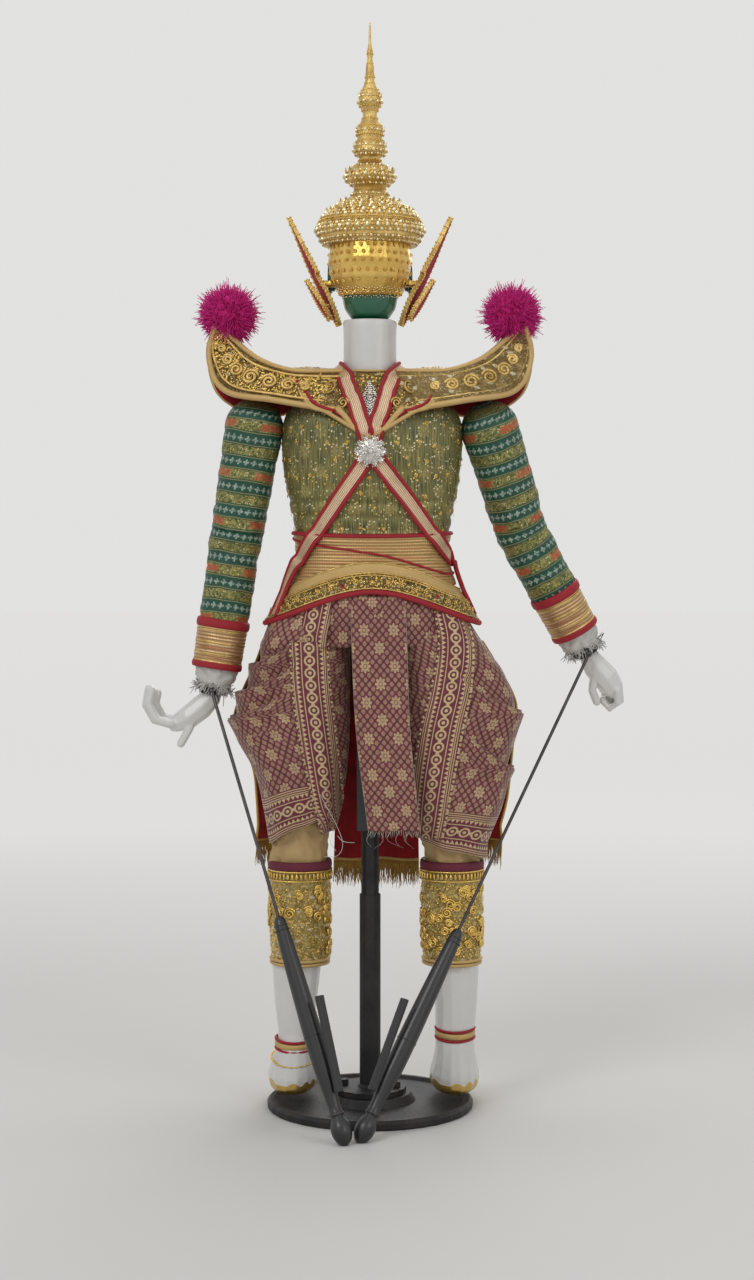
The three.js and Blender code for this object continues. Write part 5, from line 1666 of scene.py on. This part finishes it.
def buildArm(name, arm):
    shoulder, elbow, wrist = (Vector(arm[k]) for k in ("shoulder", "elbow", "wrist"))
    down, out = (elbow - shoulder).normalized(), (wrist - elbow).normalized()
    upperLength, lowerLength = (elbow - shoulder).length, (wrist - elbow).length
    cuffTop = lowerLength - sleeve["cuffEnd"] - sleeve["cuffLength"]
    path, radii = [], []
    for k in range(9):
        a = pi / 2 * (1 - k / 8.5)
        path.append(shoulder - down * sleeve["ball"] * sin(a))
        radii.append(max(1.5, sleeve["ball"] * cos(a)))
    straight = [shoulder + down * t for t in range(2, int(upperLength) - 9, 2)]
    corner = [straight[-2], straight[-1], elbow + (out - down) * 2.2, elbow + out * 11, elbow + out * 13]
    corner = smoothCurve(corner, 6)[6:-6]
    straight += corner + [elbow + out * t for t in range(14, int(cuffTop) + 3, 2)]
    for point in straight:
        along = (point - shoulder).dot(down)
        beyond = (point - elbow).dot(out)
        path.append(point)
        if beyond < 0:
            share = min(1, max(0, along / 36))
            mid = sleeve["ball"] + (sleeve["upper"] - sleeve["ball"]) * share
            radii.append(mid + (sleeve["elbow"] - sleeve["upper"]) * max(0, (along - 36) / (upperLength - 36)))
        else:
            radii.append(sleeve["elbow"] + (sleeve["lower"] - sleeve["elbow"]) * min(1, beyond / cuffTop))
    run = [0.0]
    for a, b in zip(path, path[1:]):
        run.append(run[-1] + (b - a).length)

    def dent(i, turn):
        rib = sleeve["rib"] * (abs(sin(pi * run[i] / sleeve["ribStep"])) ** 0.5 - 0.6)
        near = exp(-((path[i] - elbow).length / 34) ** 2)
        spot = Vector((cos(turn) * 1.3, sin(turn) * 1.3, run[i] * 0.075 + arm["seed"] * 9))
        crease = noise.noise(spot) - 0.55 * abs(noise.noise(spot * 2.3))
        soft = min(1, run[i] / 30)
        return soft * (rib + sleeve["bunch"] * crease * (0.35 + 0.9 * near))

    bm = laid(limbRows(path, radii, 56, dent), joinSides=True, fillEnds=True)
    piece = addPiece("sleeveCloth_" + name, bm, "sleeve", None,
                     ["upper_arm_" + name, "forearm_" + name])
    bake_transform(piece)

    # Cuff of braids between two red bands
    ends = [elbow + out * (cuffTop + t) for t in (0, sleeve["cuffLength"])]
    steps = 44
    path = [ends[0].lerp(ends[1], k / steps) for k in range(steps + 1)]
    radii = [23.4 - 1.2 * k / steps for k in range(steps + 1)]
    bm = bmesh.new()
    layRows(bm, limbRows(path, radii, 48, lambda i, turn: 0.45 * abs(sin(i / steps * pi * 11))
                         + 0.3 * noise.noise(Vector((cos(turn), sin(turn), i * 0.11 + arm["seed"])))),
            joinSides=True)
    ringBand(bm, ends[0] + out * 2.2, out, 23.7, 1.5, 2.9, 1)
    ringBand(bm, ends[1] - out * 1.8, out, 22.4, 1.4, 2.4, 1)
    for t in (9, 20, 31, 38):
        ringBand(bm, ends[0] + out * t, out, 23.4 - 1.2 * t / 43, 0.8, 1.4, 2)
    addPiece("cuffBraids_" + name, bm, "cuff braid leafDull", name + "_forearm", ["cuff_" + name],
             wall=0.0014)

    # Frayed white cloth that comes out of the cuff, then a dark binding on the wrist
    random.seed(40 + arm["seed"])
    path = [ends[1] + out * t for t in (-5, -2, 0, 3, 6, 9, 12, 15, 17)]
    radii = [19, 19.5, 19, 18.5, 18.4, 18, 17, 15.6, 14.6]

    def frayed(i, turn):
        ruffle = noise.noise(Vector((cos(turn) * 3.1, sin(turn) * 3.1, i * 0.5 + arm["seed"] * 3)))
        return 3.8 * ruffle * min(1, i / 3) + 0.6 * sin(turn * 9 + i)

    rows = limbRows(path, radii, 64, frayed)
    for k, point in enumerate(rows[-1]):
        wave = Vector((cos(k / 64 * fullTurn) * 2, sin(k / 64 * fullTurn) * 2, 0.5))
        rows[-1][k] = point + out * (3.5 * noise.noise(wave) + 1) * mm
    bm = bmesh.new()
    layRows(bm, rows, joinSides=True)
    threads = []
    for _ in range(260):
        k = random.randrange(64)
        start = rows[random.choice((-1, -1, -2))][k]
        away = (start - path[-1] * mm).normalized()
        lean = drift(0.55)
        size = random.uniform(2, 7) * mm
        threads.append(strandFrom(start, out * 0.8 + away * 0.35, lean, size))
    addStrands(bm, threads, 0.3)
    addPiece("linenFrill_" + name, bm, "linen", name + "_forearm", wall=0.0007, offset=0)
    path = [wrist + out * t for t in (-14, -11, -8, -5, -2, 1, 3.5)]
    rows = limbRows(path, [10.8, 11.6, 12.2, 12.2, 11.8, 11.2, 10.2], 40, lambda i, turn: 1.3 * noise.noise(
        Vector((cos(turn) * 2, sin(turn) * 2, i * 0.6 + 7))) + 0.5)
    bm = bmesh.new()
    layRows(bm, rows, joinSides=True)
    threads = []
    for _ in range(16):
        start = random.choice(rows[3:])[random.randrange(40)]
        away = (start - wrist * mm).normalized()
        lean = drift(0.7)
        threads.append([start + (away * 0.8 + lean * t) * random.uniform(2, 6) * mm * t for t in (0, 0.35, 0.7, 1.0)])
    addStrands(bm, threads, 0.25)
    addPiece("wristBinding_" + name, bm, "binding", name + "_wrist", ["wrist_wrap_" + name], wall=0.0008,
             offset=0)

    addPiece("handSkin_" + name, softCopy("hand_" + name, 0.0009, 4), "white", name + "_hand",
             ["hand_" + name])


rod = {
    "profile": [(0, -0.3), (2.4, 0.2), (4.8, 1.8), (7.2, 5), (8.9, 9.5), (9.4, 14), (8.8, 18.5), (7.2, 22.5),
                (5.6, 25.2), (5.4, 26.4), (6.3, 27.4), (6.5, 29.4), (5.8, 31), (5.6, 36), (6.3, 46), (7.6, 58),
                (8.5, 72), (8.9, 90), (8.9, 108), (8.5, 128), (8.1, 148), (7.6, 168), (6.9, 188), (6.0, 202),
                (5.4, 207), (4.4, 210.5), (1.7, 212.5)],
    "collars": [(6.7, 28.4, 0.7), (6.6, 199, 0.6), (6.0, 203.5, 0.6), (9.15, 100, 0.35)],
}


def buildRod(name, arm):
    axis = Vector(arm["rodAxis"]).normalized()
    tip = Vector(arm["rodTip"])
    place = Matrix.Translation(tip * mm) @ turnTo(axis)
    bm = bmesh.new()
    turnProfile(bm, rod["profile"], 36, place)
    for radius, along, thick in rod["collars"]:
        ringBand(bm, tip + axis * along, axis, radius, thick, 1.0, 1)
    addPiece("rodGrip_" + name, bm, "lacquer steel", name + "_rod",
             ["rod_handle_" + name])
    addPiece("rodTrigger_" + name, softCopy("trigger_" + name, 0.0006, 3), "lacquer", name + "_trigger",
             ["trigger_" + name])


for armName, armFacts in arms.items():
    buildArm(armName, armFacts)
    buildRod(armName, armFacts)
print("arms and rods made")


# Trousers, panels, socks and feet

legs = {
    "left": {
        "side": -1,
        "rings": [[251, -67, 0, 28, 35], [287, -65, 0, 36, 40], [318, -65, 0, 43, 43], [360, -74, 0, 55, 46],
                  [385, -71, 0, 53, 46], [420, -62, 0, 46, 44], [452, -56, 0, 40, 42], [472, -52, 0, 33, 38]],
        "hemOuter": 250, "hemInner": 284, "pleats": [11.0, 25, 442, 346, 28], "foldPhase": 0.4,
        "strip": [[262, -35, 9], [300, -40, 14], [360, -49, 17], [400, -54, 17], [440, -56, 17]],
        "anklet": (60, 17.4, 22.5, -71, 0.5), "string": (46, 20.5, 31, -72, 5), "knee": (-67, 0),
    },
    "right": {
        "side": 1,
        "rings": [[251, 79, 0, 31, 36], [290, 78, 0, 47, 42], [355, 79, 0, 58, 46], [381, 80, 0, 59, 46],
                  [420, 69, 0, 49, 44], [452, 57, 0, 40, 42], [472, 52, 0, 33, 38]],
        "hemOuter": 237, "hemInner": 254, "pleats": [9.0, 52, 424, 296, 42], "foldPhase": 2.1,
        "strip": [[256, 52, 14], [300, 56, 18], [360, 66, 19], [400, 75, 18], [440, 79, 15.5], [470, 73, 13.5]],
        "anklet": (70, 17.6, 20.6, 80, -1), "string": None, "knee": (78, 0),
    },
}
leg = {"high": 472, "step": 2.6, "sides": 84, "sockLow": 137, "sockHigh": 233, "square": 2.6}


def legSection(turn):
    # A rounded square, from -1 to 1 each way.
    power = 2 / leg["square"]
    return [copysign(abs(part) ** power, part) for part in (cos(turn), sin(turn))]


def legAt(facts, turn, z, out=0.0):
    # A point on a trouser leg: turn 0 is straight out to the side, a quarter turn is the back.
    x, y, half, deep = tableAt(facts["rings"], z)
    side = facts["side"]
    c, s = legSection(turn)
    amount, pitch, high, low, rise = facts["pleats"]
    if low < z < high:
        window = min(1, max(0.0, c) * 2.2) * min(1, (high - z) / 14) * min(1, (z - low) / 24)
        lift = (high - z + rise * (1 - c)) / pitch
        saw = 1 - (lift - floor(lift))
        out += amount * window * (saw ** 1.3 - 0.5)
    spot = Vector((c * 1.5, s * 1.5, z * 0.014 + facts["foldPhase"] * 5))
    out += 2.4 * noise.noise(spot) + 1.0 * sin(turn * 7 + facts["foldPhase"] + z * 0.02) * min(1, (470 - z) / 120)
    return at(x + side * (half + out) * c, y - (deep + out) * s, z)


def legAcross(facts, x, z, out):
    # The point on the back of a trouser leg that has this x.
    low, high = 0.02, pi - 0.02
    for _ in range(14):
        turn = (low + high) / 2
        if (legAt(facts, turn, z, out)[0] / mm - x) * facts["side"] > 0:
            low = turn
        else:
            high = turn
    return legAt(facts, turn, z, out)


def hemLevel(facts, turn, fall):
    # Height for a share of the way down; the last rows tilt to the slanted hem.
    low = facts["hemInner"] + (facts["hemOuter"] - facts["hemInner"]) * (0.5 + 0.5 * cos(turn))
    return leg["high"] + (low - leg["high"]) * fall


def buildLeg(name, facts):
    side, thigh, shin = facts["side"], name + "_thigh", name + "_lower_leg"
    count = int((leg["high"] - facts["hemOuter"]) / leg["step"])
    turns = [pi - fullTurn * k / leg["sides"] for k in range(leg["sides"] + 1)]
    rows = [[legAt(facts, t, hemLevel(facts, t, j / count)) for t in turns] for j in range(count + 1)]
    length = sum(sum((b - a).length for a, b in zip(p, q)) / len(p) for p, q in zip(rows, rows[1:]))
    finish["brocadeHem"] = brocadeFinish("brocadeHem_" + name, hemAt=length)
    piece = addPiece("trouserCloth_" + name, laid(rows, joinSides=True), "brocadeHem", thigh,
                     ["trousers_" + name], wall=0.0014)
    girth = sum((b - a).length for a, b in zip(rows[count // 2], rows[count // 2][1:]))

    # The border that runs down the inside of the leg
    rows = []
    z = facts["strip"][-1][0]
    while z >= facts["strip"][0][0]:
        x, half = tableAt(facts["strip"], z)
        rows.append([legAcross(facts, x + (k / 6 - 1) * half, z, 1.3 + 0.9 * sin(k / 12 * pi)) for k in range(13)])
        z -= 3
    bm = bmesh.new()
    layRows(bm, rows)
    for edge in (0, -1):
        addTube(bm, [row[edge] for row in rows], 0.9, 6)
    addPiece("trouserBorder_" + name, bm, "brocadeStrip", thigh, wall=0.0014, offset=0)

    # Red panel on the outside of the thigh, with a gold fringe
    sweep = [-1.44 + 0.95 * k / 22 for k in range(23)]
    levels = [438 - 190 * j / 60 for j in range(61)]
    rows = []
    for z in levels:
        grow = 4.0 + 11.0 * ((438 - z) / 190) ** 2.5
        row = []
        for t in sweep:
            x, y, half, deep = tableAt(facts["rings"], max(z, 262))
            ripple = 1.2 * sin(t * 9 + z * 0.02) * (438 - z) / 190
            c, s = legSection(t)
            row.append(at(x + side * (half + grow + ripple) * c, y - (deep + grow + ripple) * s, z))
        rows.append(row)
    red = addPiece("sidePanel_" + name, laid(rows), "red", thigh, ["side_panel_" + name], wall=0.0013,
                   offset=0)
    bm = bmesh.new()
    for column in (0, 22):
        addTube(bm, [row[column] for row in rows], 1.3, 6)
    addTube(bm, rows[-1], 1.5, 6)
    for column in (3, 19):
        shift = at(side * 0.9, 0.6, 0)
        addTube(bm, [row[column] + shift for row in rows], 0.7, 6)
    addStrands(bm, fringeAlong(rows[-1], 23, 0.45, 0.08, 9 + side), 0.8)
    fringe = addPiece("sidePanelFringe_" + name, bm, "fringe", thigh)
    wide = sum((b - a).length for a, b in zip(rows[30], rows[30][1:]))

    if side < 0:
        threads = [[(-46, -44, 300), (-30, -46, 270), (-25, -48, 254), (-30, -50, 244), (-42, -50, 243)],
                   [(-30, -47, 262), (-24, -49, 257), (-14, -50, 256)],
                   [(-33, -44, 268), (-36, -47, 256), (-31, -49, 248)]]
        bm = bmesh.new()
        for points in threads:
            addTube(bm, smoothCurve([Vector(p) * mm for p in points], 5), 0.3, 4)
        addPiece("looseThreads", bm, "linen", thigh)

    # Creased cream cloth at the knee
    kneeX, kneeY = facts["knee"]
    rows = []
    for j in range(19):
        z = 292 - j * 3.4
        row = []
        for k in range(57):
            t = fullTurn * k / 56
            spot = Vector((cos(t) * 2.6, sin(t) * 2.6, z * 0.085 + side))
            crease = max(-0.9, 1.8 + 4.0 * noise.noise(spot) - 6.0 * abs(noise.noise(spot * 1.5 + Vector((0, 0, 4)))))
            row.append(at(kneeX + (25.6 + crease) * cos(t), kneeY + (25.6 + crease) * sin(t), z))
        rows.append(row)
    piece = addPiece("kneeCloth_" + name, laid(rows, joinSides=True), "cream", None, wall=0.0007, offset=0)
    at(kneeX, kneeY, 262)
    at(kneeX, kneeY, 236)
    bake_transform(piece)

    # Sock of couched gold, with a maroon band, a bead row and a twisted cord at the foot of it
    shinX = kneeX - side
    rows = []
    for j in range(49):
        z = leg["sockHigh"] - (leg["sockHigh"] - leg["sockLow"]) * j / 48
        girth = 28.6 - 2.4 * (j / 48) + 1.2 * sin(j / 48 * pi)
        row = []
        for k in range(73):
            t = fullTurn * k / 72
            puff = 0.8 * noise.noise(Vector((cos(t) * 2.5, sin(t) * 2.5, z * 0.06 + 4 * side)))
            row.append(at(shinX + (girth + puff) * cos(t), (girth + puff) * sin(t), z))
        rows.append(row)
    bm = bmesh.new()
    layRows(bm, rows, joinSides=True)
    for z, radius, thick, flat, which in ((230, 29, 1.3, 3.4, 1), (225.2, 29.7, 0.9, 1, 2), (216.5, 29.7, 0.8, 1, 2),
                                          (137.5, 26.9, 1.7, 1, 3), (141, 27.2, 1.7, 1, 3)):
        ringBand(bm, (shinX, 0, z), (0, 0, 1), radius, thick, flat, which, 56)
    random.seed(70 + side)
    for _ in range(84):
        a, z = random.random() * fullTurn, random.uniform(148, 209)
        outward = outwardAt(a)
        spot = at(shinX, 0, z) + outward * 29.2 * mm
        curl = spiralOn(spot, outward, random.uniform(3.2, 5.2), 2, random.choice((-1, 1)))
        addTube(bm, curl, 0.5, 5, slotIndex=2)
    addPiece("sockCloth_" + name, bm, "sockCloth maroonBand leaf piping", shin, ["sock_" + name],
             wall=0.0016)
    beads, drops = [], []
    for k in range(46):
        a = k / 46 * fullTurn
        outward = outwardAt(a)
        drops.append(Matrix.Translation((Vector((shinX, 0, 221)) + outward * 30.0) * mm)
                     @ turnTo(outward) @ Matrix.Diagonal((0.0012, 0.0034, 0.0011, 1)))
    for _ in range(850):
        a, z = random.random() * fullTurn, random.uniform(143, 213)
        outward = outwardAt(a)
        radius = 29.3 - 2.4 * (leg["sockHigh"] - z) / 96 + 1.2 * sin((leg["sockHigh"] - z) / 96 * pi)
        tilt = shake(0.3)
        beads.append(standOn((Vector((shinX, 0, z)) + outward * radius) * mm, outward + tilt,
                             random.uniform(0.7, 1.1), 0, 0.6))
    addScatter("sockSequins_" + name, "leaf", shin, "gold_leaf", (sequinShape, beads), (beadShape, drops))

    # Carved shin and foot, anklet and bead string
    addPiece("footSkin_" + name, softCopy("lower_leg_" + name, 0.0012, 4), "foot", shin,
             ["lower_leg_" + name])
    bm = bmesh.new()
    z, wide, deep, x, y = facts["anklet"]
    for shift, thick, flat, which in ((4.4, 1.3, 1.0, 0), (0, 1.0, 3.0, 1), (-4.4, 1.3, 1.0, 0)):
        points = [at(x + (wide + 0.6) * cos(a), y + (deep + 0.6) * sin(a), z + shift + 0.6 * cos(a * 2))
                  for a in (fullTurn * k / 48 for k in range(48))]
        addTube(bm, points, thick, 8, flat, up=(0, 0, 1), closed=True, slotIndex=which)
    addPiece("ankletBraid_" + name, bm, "braid piping", shin)
    if facts["string"]:
        z, wide, deep, x, y = facts["string"]
        beads = []
        for k in range(58):
            a = k / 58 * fullTurn
            spot = Vector((x + (wide + 0.8) * cos(a), y + (deep + 0.2) * sin(a), z + 4 * sin(a)))
            beads.append(standOn(spot * mm, (0, 0, 1), (1.25 if k % 2 else 0.95)))
        addScatter("ankleBeads_" + name, "leaf", shin, "gold_leaf", (beadShape, beads), smooth=True)


def footFinish():
    # White paint, with a gilded sole whose upper line waves.
    material, coords = newMaterial("footPaint", **{"Coat Weight": 0.35, "Coat Roughness": 0.12})
    marks, (x, y, z) = patinaOn(coords, 38.0), (splitUp(coords["Object"])[i] for i in range(3))
    slow = marks["Slow"]
    gilt = ramp(z + sine((x + y) * 330.0) * 0.0016, 0.0262, 0.0255)
    # The white darkens in patches towards the bottom of the shin.
    lowDarkening = marks["Dust"] * ramp(z, 0.11, 0.03) * 0.35
    white = blend(lowDarkening, blend(slow, (0.80, 0.80, 0.78), (0.71, 0.70, 0.67)), (0.42, 0.38, 0.33))
    tone = blend(gilt, white, blend(slow, (0.70, 0.47, 0.12), (0.45, 0.28, 0.06)))
    return setLook(material, tone, marks["Fine"] * 0.22 + 0.2, gilt * 2.0 + slow, 0.25, 0.0006, metal=gilt * 0.75)


finish["foot"] = footFinish()
finish["maroonBand"] = threadFinish("maroonBand", (0.20, 0.02, 0.05), (0.10, 0.01, 0.025), 0.0, 0.6)
for legName, legFacts in legs.items():
    buildLeg(legName, legFacts)
print("legs dressed")


# Finishes on the pieces that keep their CAD shape

slotFinish = {
    "black_iron": "iron", "rod_steel": "steel", "black_lacquer": "lacquer", "bare_wood": "wood",
    "white_paint": "white", "green_paint": "green", "green_brocade": "sleeve", "gold_cloth": "beltCloth",
    "red_velvet": "red", "maroon_brocade": "brocade", "magenta_wool": "wool", "gold_leaf": "leaf", "linen": "linen",
}


def dressCadNodes():
    slots = {part["node"]: part["material_slot"] for part in frame["record"]["subparts"]}
    for name, node in cadNodes.items():
        material = finish[slotFinish[slots[name]]]
        if not node.material_slots:
            node.data.materials.append(material)
        for socket in node.material_slots:
            socket.material = material


def rayOf(tree):
    return fieldsOf(tree.nodes.new("ShaderNodeLightPath"))


def buildRoom():
    material, coords = newMaterial("paleFloor", Roughness=0.9)
    shader = material.node_tree.nodes["Principled BSDF"]
    # Away from the object the camera sees an even tone, which hides the pools of lamp light
    far = addNode("VectorMath", {0: coords["Object"]}, operation="LENGTH")["Value"]
    ray = rayOf(material.node_tree)
    fade = ramp(far, 0.7, 2.1) * larger(ray["Is Camera Ray"], ray["Is Glossy Ray"])
    pale = room["floorColor"]
    lit = blend(noiseOf(coords["Object"], 3.0, 4), pale, [c * 0.97 for c in pale])
    setInputs(shader, {"Base Color": blend(fade, lit, (0, 0, 0)), "Emission Color": (*pale, 1),
                       "Emission Strength": fade * 0.86})
    bm = bmesh.new()
    bmesh.ops.create_circle(bm, cap_ends=True, segments=64, radius=14)
    placeMesh("paleFloor", bm, [material])
    world = bpy.data.worlds.new("softSky")
    world.use_nodes = True
    scene.world = world
    ray = rayOf(world.node_tree)
    seen = larger(larger(ray["Is Camera Ray"], ray["Is Transmission Ray"]), ray["Is Glossy Ray"])
    light = room["worldLight"]
    setInputs(world.node_tree.nodes["Background"], {"Color": (*room["wallColor"], 1),
                                                    "Strength": seen * (room["seenLight"] - light) + light})


dressCadNodes()
buildRoom()
setCamera()
setLamps()
scene.view_settings.view_transform = "Standard"
print("room and finishes set")
